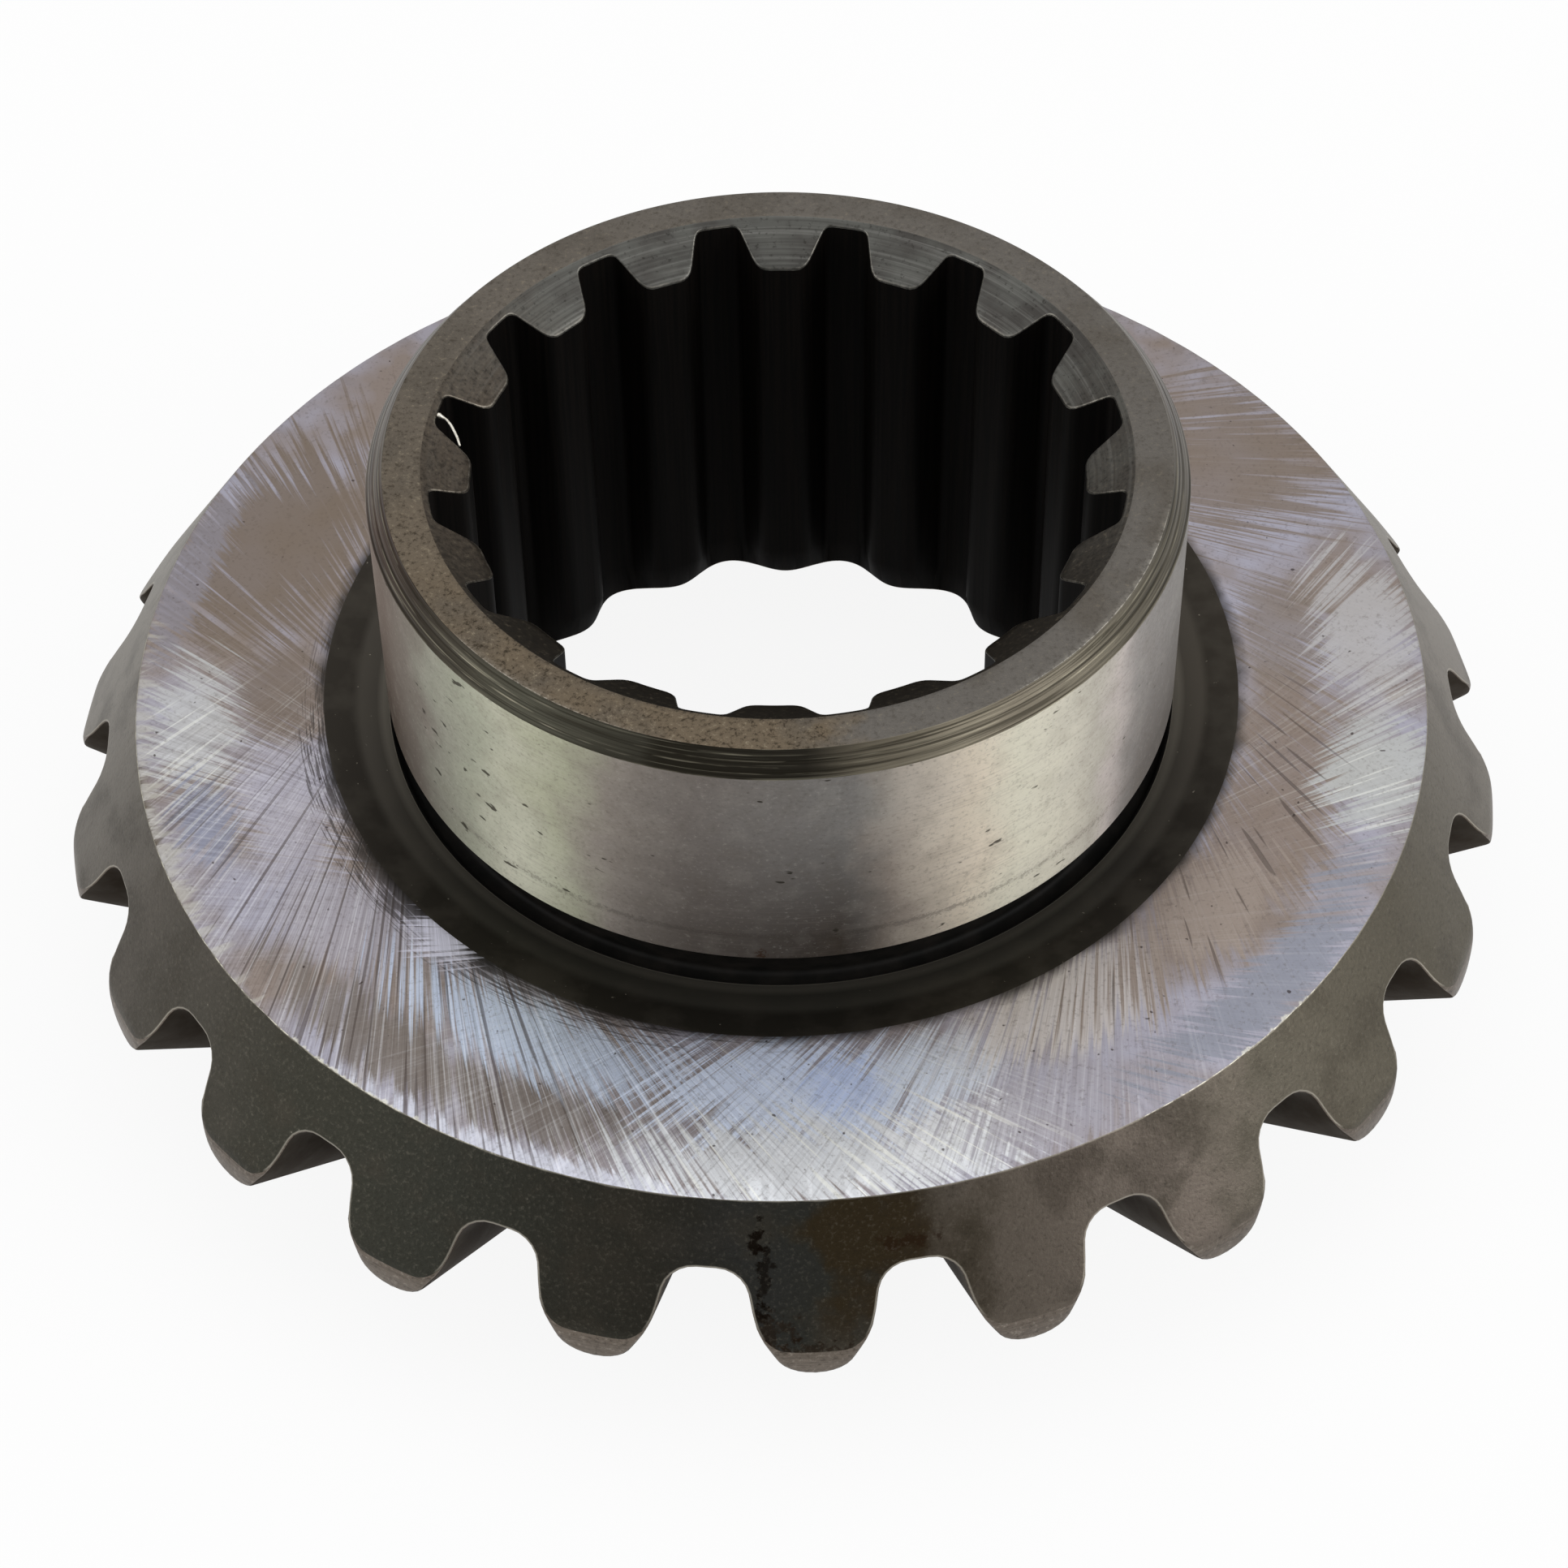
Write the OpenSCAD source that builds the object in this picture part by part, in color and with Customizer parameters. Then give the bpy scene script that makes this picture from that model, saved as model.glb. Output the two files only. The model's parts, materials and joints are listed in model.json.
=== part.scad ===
/*
Side gear of a differential, forged and machined in one piece of steel.
It is a straight bevel gear with its teeth on the underside, a ground thrust
face on its back, and above that a ground hub with a splined bore through it.

Millimetres, +Z up along the axis. The gear stands on the inner ends of its
teeth, and the origin is the middle of the circle that they stand on. One bevel
tooth points along -Y.
*/

/* [Hub] */
// Diameter of the ground journal
hub_d = 60; // [59:0.1:66]
// Height of the hub's end over the thrust face
hub_h = 23.7; // [20:0.1:34]
// Chamfer at the hub's end, measured on the radius
hub_chamfer_r = 1.3; // [0.5:0.1:1.8]
// Chamfer at the hub's end, measured along the axis
hub_chamfer_h = 1.7; // [0.5:0.1:3]
// Height of the journal's lower edge over the thrust face
journal_foot = 2.6; // [2.5:0.1:5]

/* [Foot of the hub] */
// Depth of the undercut into the hub
undercut = 1.9; // [0.6:0.1:2.4]
// Depth of the undercut's floor below the thrust face
undercut_floor = 1.4; // [1.1:0.1:2]
// Place of the undercut's outer edge, measured outwards from the journal
undercut_edge = 0; // [-0.6:0.1:0.6]
// Chamfer on that floor's outer wall, both ways
undercut_break = 0.2; // [0.1:0.05:0.3]
// How far that wall leans in on its way down
undercut_lean = 0.3; // [0.1:0.1:0.6]
// Height over which the journal's lower edge runs in to the undercut
undercut_rise = 0.6; // [0.2:0.1:1.2]
// Width of the flat band round the undercut, measured from the journal
band_w = 2.4; // [1.2:0.1:4]
// Depth of that band below the thrust face
band_depth = 0.4; // [0.3:0.1:1]
// Width of the sloping ring between that band and the thrust face
ramp_w = 2.6; // [1:0.1:5]

/* [Thrust face and bevel teeth] */
// Outer diameter of the thrust face
thrust_d = 98.6; // [96:0.1:100]
// Number of teeth
teeth = 22; // [20:1:24]
// Number of teeth of the pinion that it runs with
pinion_teeth = 14; // [12:1:16]
// Pitch diameter at the outer ends of the teeth
pitch_d = 110; // [108:0.5:112]
// Pressure angle
pressure_angle = 20.5; // [20:0.5:25]
// Length of the teeth along the pitch cone
face_w = 20; // [16:0.5:22]
// Height of a tooth above the pitch cone at the outer end
addendum = 3.1; // [2:0.1:3.4]
// Depth of a tooth space below the pitch cone at the outer end
dedendum = 5.4; // [4.8:0.1:6]
// How much thinner a tooth is than half the pitch, at the outer end
thinning = 0.7; // [0:0.1:1.4]
// Radius of the fillets in a tooth space
root_fillet = 2.4; // [0.5:0.1:2.6]
// Radius of the rounding along the tips of the teeth
tip_round = 2.5; // [0.3:0.1:2.9]
// Diameter to which the outer corners of the teeth are turned down
turned_d = 111; // [110.2:0.1:112]

/* [Splined bore] */
// Number of spline teeth
spline_teeth = 16; // [14:1:18]
// Diameter inside the tips of the spline teeth
spline_tip_d = 44.9; // [44:0.1:46.5]
// Diameter at the bottom of the spline spaces
spline_root_d = 50.8; // [49.8:0.1:51.6]
// Width of a spline space at its bottom
spline_root_w = 3.2; // [2.5:0.1:4.2]
// Width of a spline space between the tooth tips
spline_mouth_w = 5.2; // [4.6:0.1:6.2]
// Chamfer on the corners of the spline teeth
spline_corner = 0.35; // [0.2:0.05:0.8]
// Turn of the spline against the bevel teeth, in degrees
spline_turn = -3.1; // [-11:0.1:11]
// Diameter of the countersink at the hub's end
mouth_d = 51.8; // [51.2:0.1:54]
// Slope of that countersink in degrees
mouth_slope = 34.5; // [25:0.5:45]
// Depth of the flat underside below the thrust face
under_depth = 13.9; // [11:0.1:14]
// Diameter of the countersink in the underside
under_mouth_d = 55; // [52.4:0.1:58]
// Slope of that countersink in degrees
under_slope = 21; // [15:0.5:35]

/* [Hidden] */

// Steps round a full circle
$fn = 180;
// How far a cut runs on past the surface that it leaves
past = 1;
// Steps along one flank of a tooth and along each of its roundings
flank_steps = 6;
round_steps = 4;
// Slope of the tip rounding where it leaves the tooth's tip
round_end = 20;

// Pitch cone: half angle, length to its apex and height of the apex
cone_angle = atan(teeth / pinion_teeth);
cone_length = pitch_d / 2 / sin(cone_angle);
pitch_z = -(pitch_d - thrust_d) / 2 * tan(cone_angle);
apex_z = pitch_z - cone_length * cos(cone_angle);

// The outer ends of the teeth, rolled out flat, are those of this spur gear
virtual_r = cone_length * tan(cone_angle);
base_r = virtual_r * cos(pressure_angle);
tip_r = virtual_r + addendum;
root_r = virtual_r - dedendum;
half_pitch = 180 / teeth * cos(cone_angle);
tooth_t = PI * pitch_d / teeth / 2 - thinning;

// Radius and height of a point on the teeth's outer or inner end, by its
// height over the pitch cone
function outer_end(over) =
    [pitch_d / 2 + over * cos(cone_angle), pitch_z - over * sin(cone_angle)];
function inner_end(over) =
    let(left = 1 - face_w / cone_length, p = outer_end(over))
    [p[0] * left, apex_z + (p[1] - apex_z) * left];

// Height of the thrust face over the plane that the gear stands on
thrust_z = -inner_end(addendum)[1];

// Length of string that an involute has unwound at radius r, and back
function unwound(r) = sqrt(r * r - base_r * base_r);
function reached(len) = sqrt(len * len + base_r * base_r);
// Degrees from a tooth's middle to its flank, by the length unwound
function roll(len) = len / base_r * 180 / PI - atan(len / base_r);
function half_tooth(len) =
    tooth_t / 2 / virtual_r * 180 / PI + roll(unwound(virtual_r)) - roll(len);
// Point at radius r and angle a from the space's middle, moved by d in a
// direction that is turned by dir from the outward one
function spot(r, a, d = 0, dir = 0) =
    [r * sin(a) + d * sin(a + dir), r * cos(a) + d * cos(a + dir) - virtual_r];

// One side of a tooth space, from above the tooth's tip to the space's bottom
function space_side() =
    let(
        tip_centre_r = tip_r - tip_round * cos(round_end),
        tip_len = unwound(tip_centre_r),
        tip_a = half_tooth(tip_len) - tip_round / base_r * 180 / PI - half_pitch,
        root_centre_r = root_r + root_fillet,
        root_len = unwound(root_centre_r),
        root_a = half_tooth(root_len) + root_fillet / base_r * 180 / PI - half_pitch,
        tip_turn = atan(base_r / tip_len),
        root_turn = atan(base_r / root_len)
    )
    concat(
        [spot(tip_r + 2 * past, tip_a)],
        [for (i = [0 : round_steps])
            spot(tip_centre_r, tip_a, tip_round,
                round_end / 2 + (tip_turn - round_end / 2) * i / round_steps)],
        [for (i = [1 : flank_steps - 1])
            let(len = tip_len + tip_round
                + (root_len - root_fillet - tip_len - tip_round) * i / flank_steps)
            spot(reached(len), half_tooth(len) - half_pitch)],
        [for (i = [0 : round_steps])
            spot(root_centre_r, root_a, root_fillet,
                root_turn - 180 - root_turn * i / round_steps)]
    );

module space_outline() {
    side = space_side();
    polygon(concat(side, [for (i = [len(side) - 1 : -1 : 0]) [-side[i][0], side[i][1]]]));
}

// A tooth space narrows to nothing at the apex of the pitch cone
module tooth_space() {
    beyond = 1 + 2 * past / cone_length;
    translate([0, 0, apex_z])
        rotate([cone_angle, 180, 0])
            translate([0, 0, -cone_length * beyond])
                linear_extrude(height = cone_length * beyond, scale = 0)
                    scale(beyond) space_outline();
}

// Half section of the gear before its teeth and its bore are cut
module gear_section() {
    hub_r = hub_d / 2;
    neck_r = hub_r - undercut;
    edge_r = hub_r + undercut_edge;
    wall_r = edge_r - undercut_break;
    band_r = hub_r + band_w;
    // Heights of the two edges of the land at the teeth's outer corners
    corner_over = (turned_d - pitch_d) / 2 / cos(cone_angle);
    corner_z = apex_z + (outer_end(addendum)[1] - apex_z)
        * turned_d / 2 / outer_end(addendum)[0];
    // The inner ends' cone runs on up to the flat underside
    under_r = inner_end(0)[0] - (inner_end(0)[1] + under_depth) / -tan(cone_angle);
    polygon([
        [0, -under_depth],
        [under_r, -under_depth],
        inner_end(addendum),
        [turned_d / 2, corner_z],
        outer_end(corner_over),
        [thrust_d / 2, 0],
        [band_r + ramp_w, 0],
        [band_r, -band_depth],
        [edge_r, -band_depth],
        [wall_r, -band_depth - undercut_break],
        [wall_r - undercut_lean, -undercut_floor],
        [neck_r, -undercut_floor],
        [neck_r, journal_foot - undercut_rise],
        [hub_r, journal_foot],
        [hub_r, hub_h - hub_chamfer_h],
        [hub_r - hub_chamfer_r, hub_h],
        [0, hub_h]
    ]);
}

module spline_space() {
    inner_r = spline_tip_d / 2;
    outer_r = spline_root_d / 2;
    corner_w = spline_mouth_w + 2 * spline_corner;
    polygon([
        [-corner_w / 2, 0],
        [-corner_w / 2, inner_r],
        [-spline_mouth_w / 2, inner_r + spline_corner],
        [-spline_root_w / 2, outer_r],
        [-spline_root_w / 2, outer_r + past],
        [spline_root_w / 2, outer_r + past],
        [spline_root_w / 2, outer_r],
        [spline_mouth_w / 2, inner_r + spline_corner],
        [corner_w / 2, inner_r],
        [corner_w / 2, 0]
    ]);
}

module splined_bore() {
    reach = hub_h + under_depth + 2 * past;
    translate([0, 0, -under_depth - past])
        linear_extrude(height = reach)
            intersection() {
                circle(d = spline_root_d);
                union() {
                    circle(d = spline_tip_d);
                    for (i = [0 : spline_teeth - 1])
                        rotate(180 + spline_turn + (i + 0.5) * 360 / spline_teeth)
                            spline_space();
                }
            }
    rotate_extrude()
        polygon([
            [0, hub_h - mouth_d / 2 * tan(mouth_slope)],
            [mouth_d / 2 + past, hub_h + past * tan(mouth_slope)],
            [0, hub_h + past * tan(mouth_slope)]
        ]);
    rotate_extrude()
        polygon([
            [0, under_mouth_d / 2 * tan(under_slope) - under_depth],
            [under_mouth_d / 2 + past, -under_depth - past * tan(under_slope)],
            [0, -under_depth - past * tan(under_slope)]
        ]);
}

module side_gear() {
    color("#8a8782")
    translate([0, 0, thrust_z])
    difference() {
        rotate_extrude() gear_section();
        for (i = [0 : teeth - 1])
            rotate(180 + (i + 0.5) * 360 / teeth) tooth_space();
        splined_bore();
    }
}

side_gear();
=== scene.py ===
import json
import math

import bmesh
import bpy
from bpy.props import FloatProperty, FloatVectorProperty, IntProperty, PointerProperty
from mathutils import Matrix, Vector, noise


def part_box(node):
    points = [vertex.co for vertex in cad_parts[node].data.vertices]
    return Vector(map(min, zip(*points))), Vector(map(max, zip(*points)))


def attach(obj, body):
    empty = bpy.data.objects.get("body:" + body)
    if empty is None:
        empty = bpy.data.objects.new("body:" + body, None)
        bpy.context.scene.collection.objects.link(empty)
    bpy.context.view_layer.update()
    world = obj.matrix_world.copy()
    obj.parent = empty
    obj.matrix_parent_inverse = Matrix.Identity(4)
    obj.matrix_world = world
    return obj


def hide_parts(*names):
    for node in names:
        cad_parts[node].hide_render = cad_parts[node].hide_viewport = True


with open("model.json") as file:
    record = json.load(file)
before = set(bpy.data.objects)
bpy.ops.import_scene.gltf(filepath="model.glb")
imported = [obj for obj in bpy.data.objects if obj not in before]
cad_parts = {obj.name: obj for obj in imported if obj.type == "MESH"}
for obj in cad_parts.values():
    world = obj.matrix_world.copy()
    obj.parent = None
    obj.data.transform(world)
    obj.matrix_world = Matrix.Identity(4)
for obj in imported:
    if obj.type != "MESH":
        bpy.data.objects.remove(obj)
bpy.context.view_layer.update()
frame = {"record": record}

bl_info = {
    "name": "Differential Side Gear",
    "version": (1, 0, 0),
    "blender": (4, 5, 0),
    "location": "3D View > Sidebar > Side Gear",
    "description": "Builds a used differential side gear and a plain studio round it",
    "category": "Add Mesh",
}

MM = 0.001
NODE = "side_gear"
MOUNTS = {mount["name"]: mount for mount in frame["record"]["mounts"]}
THRUST_Z = MOUNTS["thrust_face"]["pos_m"][2]
JOURNAL_R = MOUNTS["hub_journal"]["dims"]["r_mm"] * MM
HUB_END_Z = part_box(NODE)[1].z


def size(label, meaning, millimetres):
    """A length, kept as a scene property."""
    return FloatProperty(
        name=label, description=meaning, default=millimetres * MM, min=0, precision=5, unit="LENGTH"
    )


def degrees(label, meaning, value):
    """An angle, kept as a scene property."""
    return FloatProperty(
        name=label, description=meaning, default=math.radians(value), subtype="ANGLE"
    )


class GearSizes(bpy.types.PropertyGroup):
    teeth: IntProperty(name="Teeth", description="Number of bevel teeth", default=22, min=8)
    pinion_teeth: IntProperty(
        name="Pinion teeth", description="Teeth of the pinion that the gear runs with", default=14, min=6
    )
    thrust_r: size("Thrust face radius", "Outer radius of the thrust face", 49.3)
    pitch_r: size("Pitch radius", "Pitch radius at the teeth's outer ends", 55)
    turned_r: size("Turned radius", "Radius to which the teeth's outer corners are turned", 55.49)
    face_w: size("Face width", "Length of the teeth along the pitch cone", 20)
    addendum: size("Addendum", "Height of a tooth above the pitch cone", 3.1)
    dedendum: size("Dedendum", "Depth of a tooth space below the pitch cone", 5.4)
    thinning: size("Thinning", "How much thinner a tooth is than half the pitch", 0.7)
    root_fillet: size("Root fillet", "Radius of the fillets in a tooth space", 2.4)
    tip_round: size("Tip rounding", "Radius of the rounding along a tooth's tip", 3.3)
    pressure_angle: degrees("Pressure angle", "Pressure angle of the teeth", 20.5)
    tooth_edge: size("Tooth edge", "Width of the worn edge round a tooth's outer end", 0.22)
    land_edge: size("Land edge", "Width of the round below a tooth's turned corner", 0.35)
    land_round: size("Land round", "Reach of the round above a tooth's turned corner", 1.2)
    land_blend: size("Land blend", "Reach over which the land runs out beside a tooth's end", 1.6)
    flank_swell: size("Flank swell", "How much fuller a tooth's flank is halfway up", 0.16)
    tip_relief: size("Tip relief", "How much a flank falls away where the tip begins", 0.12)
    spline_teeth: IntProperty(
        name="Spline teeth", description="Number of spline teeth in the bore", default=16, min=6
    )
    spline_tip_r: size("Spline tip radius", "Radius inside the spline's tips", 22.45)
    spline_root_r: size("Spline root radius", "Radius at the bottom of the spline's spaces", 25.4)
    spline_root_w: size("Spline root width", "Width of a spline space at its bottom", 3.2)
    spline_mouth_w: size("Spline mouth width", "Width of a spline space at the tips", 5.2)
    spline_corner: size("Spline corner", "Reach of the rounds on the spline teeth's tips", 0.9)
    spline_fillet: size("Spline fillet", "Reach of the rounds in the spline's spaces", 0.5)
    spline_turn: degrees("Spline turn", "Turn of the spline against the bevel teeth", -3.1)
    mouth_r: size("Countersink radius", "Radius of the countersink at the hub's end", 25.9)
    mouth_slope: degrees("Countersink slope", "Slope of that countersink", 34.5)
    under_depth: size("Underside depth", "Depth of the flat underside below the thrust face", 13.9)
    under_mouth_r: size("Lower countersink radius", "Radius of the countersink underneath", 27.5)
    under_slope: degrees("Lower countersink slope", "Slope of that countersink", 21)
    chamfer_r: size("Hub chamfer width", "Chamfer at the hub's end, on the radius", 1.3)
    chamfer_h: size("Hub chamfer height", "Chamfer at the hub's end, along the axis", 1.7)
    chamfer_lines: IntProperty(
        name="Chamfer lines", description="Turned ridges on the hub's chamfer", default=5, min=0
    )
    undercut: size("Undercut", "Depth of the undercut at the hub's foot", 1.9)
    undercut_top: size("Undercut top", "Height of the journal's lower edge over the thrust face", 2.6)
    undercut_floor: size("Undercut floor", "Depth of its floor below the thrust face", 1.4)
    band_w: size("Band width", "Width of the flat band round the undercut", 2.4)
    band_depth: size("Band depth", "Depth of that band below the thrust face", 0.4)
    ramp_w: size("Ramp width", "Width of the sloping ring inside the thrust face", 2.6)
    burr_r: size("Burr radius", "Half the thickness of the burr in the bore's mouth", 0.12)


def hex_colour(text):
    """Linear colour, with alpha, from an sRGB hex value."""
    parts = [int(text[i:i + 2], 16) / 255 for i in (1, 3, 5)]
    return (*[c / 12.92 if c <= 0.04045 else ((c + 0.055) / 1.055) ** 2.4 for c in parts], 1.0)


def colour(label, meaning, text):
    """A colour, kept as a scene property, from its sRGB hex value."""
    return FloatVectorProperty(
        name=label, description=meaning, default=hex_colour(text), size=4, min=0, max=1,
        subtype="COLOR",
    )


class GearColours(bpy.types.PropertyGroup):
    taupe: colour("Ground, taupe", "Thrust face where it looks brown-grey", "#8f837c")
    lilac: colour("Ground, lilac", "Thrust face where it looks bluish", "#a9a7b4")
    # Painted glints of the grinding strokes, on partly fresh metal
    bright: colour("Fresh strokes", "Grinding strokes that catch the light", "#f0f1f5")
    faced: colour("Hub's end", "Sandy, stained steel of the hub's end", "#6f6353")
    turned: colour("Turned steel", "Flat underside, as turned", "#8a857b")
    forged: colour("Forged scale", "Flanks and inner ends of the teeth", "#30281f")
    # Laid darker towards the thrust face's inner edge, next to the hub
    grime: colour("Oily grime", "Dark film at the thrust face's inner edge", "#2b2926")
    rust: colour("Rust", "Stain low on the journal", "#4a2c18")


def add(tree, kind, inputs=None, stops=None, **settings):
    """Adds a node, sets and links its inputs, and fills its colour ramp where it has one. A text
    value is a hex colour, and a ramp's number is a grey."""
    node = tree.nodes.new("ShaderNode" + kind)
    for name, value in settings.items():
        setattr(node, name, value)
    for key, value in (inputs or {}).items():
        if isinstance(value, bpy.types.Node):
            value = value.outputs[0]
        if isinstance(value, bpy.types.NodeSocket):
            tree.links.new(value, node.inputs[key])
        else:
            node.inputs[key].default_value = hex_colour(value) if isinstance(value, str) else value
    for i, (place, shade) in enumerate(stops or ()):
        marks = node.color_ramp.elements
        mark = marks[i] if i < len(marks) else marks.new(place)
        mark.position = place
        mark.color = hex_colour(shade) if isinstance(shade, str) else (shade, shade, shade, 1)
    return node


class Finish:
    """A material in the making: its nodes, its colour so far, and where a point of the gear lies,
    in millimetres and as an angle from -Y towards +X."""

    def __init__(self, name, colour=None):
        self.material = bpy.data.materials.new(name)
        self.material.use_nodes = True
        self.tree = tree = self.material.node_tree
        tree.nodes.clear()
        self.colour = colour
        self.worn = add(tree, "Attribute", attribute_name="worn").outputs["Fac"]
        metres = add(tree, "TexCoord").outputs["Object"]
        self.point = add(tree, "VectorMath", {0: metres, "Scale": 1 / MM}, operation="SCALE")
        parts = add(tree, "SeparateXYZ", {0: self.point})
        self.height = parts.outputs["Z"]
        flat = add(tree, "VectorMath", {0: self.point, 1: (1, 1, 0)}, operation="MULTIPLY")
        self.ring = add(tree, "VectorMath", {0: flat}, operation="NORMALIZE")
        self.radius = add(tree, "VectorMath", {0: flat}, operation="LENGTH").outputs["Value"]
        back = add(tree, "Math", {0: parts.outputs["Y"], 1: -1.0}, operation="MULTIPLY")
        turn = add(tree, "Math", {0: parts.outputs["X"], 1: back}, operation="ARCTAN2")
        self.angle = add(tree, "Math", {0: turn}, operation="DEGREES")
        self.map = add(tree, "CombineXYZ", {0: self.angle, 1: self.radius})
        self.wall_map = add(tree, "CombineXYZ", {0: self.angle, 1: self.height})

    def grain(self, stretch, seed, detail=3.0, rough=0.55):
        """Noise whose grains are as many millimetres long, each way, as stretch says."""
        spot = add(self.tree, "VectorMath", {
            0: self.point, 1: tuple(1 / length for length in stretch),
            2: (seed, seed * 1.7, seed * 0.6),
        }, operation="MULTIPLY_ADD")
        return add(self.tree, "TexNoise", {
            "Vector": spot, "Scale": 1.0, "Detail": detail, "Roughness": rough,
        })

    def outwards(self, step):
        """The radius, in steps of so many millimetres, as the third part of a place."""
        out = add(self.tree, "CombineXYZ", {2: self.radius})
        return add(self.tree, "VectorMath", {0: out, "Scale": 1 / step}, operation="SCALE")

    def strokes(self, hand, width, length, seed, detail=2.0):
        """Straight grinding strokes of one hand, their width and length in millimetres."""
        touch_r, way = hand
        share = add(self.tree, "Math", {0: touch_r, 1: self.radius}, operation="DIVIDE")
        lean = add(self.tree, "Math", {0: share}, operation="ARCCOSINE")
        lean = add(self.tree, "Math", {0: lean, 1: -float(way)}, operation="MULTIPLY")
        foot = add(self.tree, "VectorRotate", {
            "Vector": self.ring, "Angle": lean,
        }, rotation_type="Z_AXIS")
        spot = add(self.tree, "VectorMath", {
            0: foot, 1: (touch_r / width,) * 3, 2: self.outwards(length),
        }, operation="MULTIPLY_ADD")
        spot = add(self.tree, "VectorMath", {0: spot, 1: (0, 0, seed)}, operation="ADD")
        return add(self.tree, "TexNoise", {
            "Vector": spot, "Scale": 1.0, "Detail": detail, "Roughness": 0.6,
        })

    def across(self, spot, stretch, seed, detail=2.0):
        """Noise over degrees and millimetres, whose grains are as long each way as stretch says."""
        spot = add(self.tree, "VectorMath", {
            0: spot, 1: (1 / stretch[0], 1 / stretch[1], 0), 2: (0, 0, seed),
        }, operation="MULTIPLY_ADD")
        return add(self.tree, "TexNoise", {"Vector": spot, "Scale": 1.0, "Detail": detail})

    def rings(self, width, seed, detail=2.0):
        """Fine lines, as far apart in millimetres as width says, that a lathe leaves round the
        axis."""
        spot = add(self.tree, "VectorMath", {
            0: self.ring, 1: (1.6, 1.6, 1), 2: self.outwards(width),
        }, operation="MULTIPLY_ADD")
        spot = add(self.tree, "VectorMath", {0: spot, 1: (seed, 0, 0)}, operation="ADD")
        return add(self.tree, "TexNoise", {"Vector": spot, "Scale": 1.0, "Detail": detail})

    def spread(self, most, *patterns, least=0.0):
        """Goes from least to most as a pattern goes from its start to its end, and is held there. A
        pattern comes with those two values, or alone where they are 0 and 1. Each further one
        masks those before it."""
        for pattern in patterns:
            pattern, start, end = pattern if isinstance(pattern, tuple) else (pattern, 0.0, 1.0)
            most = add(self.tree, "MapRange", {
                "Value": pattern, "From Min": start, "From Max": end, "To Min": least, "To Max": most,
            })
            least = 0.0
        return most

    def patch(self, spot, middle, half, ragged=None, soft=0.5):
        """A patch of the surface with a soft edge, which ragged, around zero, breaks up."""
        away = add(self.tree, "VectorMath", {0: spot, 1: (*middle, 0)}, operation="SUBTRACT")
        away = add(self.tree, "VectorMath", {
            0: away, 1: (1 / half[0], 1 / half[1], 0),
        }, operation="MULTIPLY")
        far = add(self.tree, "VectorMath", {0: away}, operation="LENGTH").outputs["Value"]
        near = add(self.tree, "Math", {0: 1.0, 1: far}, operation="SUBTRACT")
        if ragged:
            near = add(self.tree, "Math", {0: near, 1: ragged}, operation="ADD")
        return self.spread(1.0, (near, 0.0, soft))

    def by_angle(self, stops, ragged=None):
        """Colours, or shares from 0 to 1, that change round the gear, at degrees from -Y towards
        +X. Ragged, a pattern and a number of degrees, breaks up their borders."""
        angle = self.angle
        if ragged:
            pattern, reach = ragged
            shift = self.spread(reach, (pattern, 0.3, 0.7), least=-reach)
            angle = add(self.tree, "Math", {0: angle, 1: shift}, operation="ADD")
        return add(self.tree, "ValToRGB", {0: self.spread(1.0, (angle, -180, 180))}, stops=[
            (0.5 + at / 360, shade) for at, shade in stops
        ])

    def tint(self, under, over, share, *patterns):
        """One colour laid over another, by a share that the patterns mask."""
        share = self.spread(share, *patterns)
        mix = add(self.tree, "Mix", {"Factor": share, 6: under, 7: over}, data_type="RGBA")
        return mix.outputs[2]

    def lay(self, over, share, *patterns):
        """Lays a colour over the material's own."""
        self.colour = self.tint(self.colour, over, share, *patterns)

    def ended(self, roughness, relief, depth, more=None):
        """The material, now bare steel with its colour and roughness, and relief of depth in
        millimetres. More holds the shader's other values."""
        bump = add(self.tree, "Bump", {"Strength": 1.0, "Distance": depth * MM, "Height": relief})
        surface = add(self.tree, "BsdfPrincipled", {
            "Base Color": self.colour, "Metallic": 1.0, "Roughness": roughness, "Normal": bump,
            **(more or {}),
        })
        add(self.tree, "OutputMaterial", {"Surface": surface})
        return self.material


def around(radius, angle, height):
    """A point by its radius, its angle from -Y towards +X, and its height."""
    return Vector((radius * math.sin(angle), -radius * math.cos(angle), height))


def bend(start, corner, end, t):
    """A point on the round that replaces a corner."""
    return start.lerp(corner, t).lerp(corner.lerp(end, t), t)


class Row:
    """One closed row of points round the gear, the finish of the strip that follows it, and how
    worn each point is."""

    def __init__(self, points, finish, worn=0.0):
        self.points, self.finish = points, finish
        self.worn = worn if isinstance(worn, list) else [worn] * len(points)


# Steps along half a bevel tooth. They make 48 columns a tooth, and 1056 round the gear, which is
# twice a multiple of the number of spline teeth too.
TIP_STEPS, ROUND_STEPS, FLANK_STEPS, FILLET_STEPS = 2, 7, 8, 5


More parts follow.
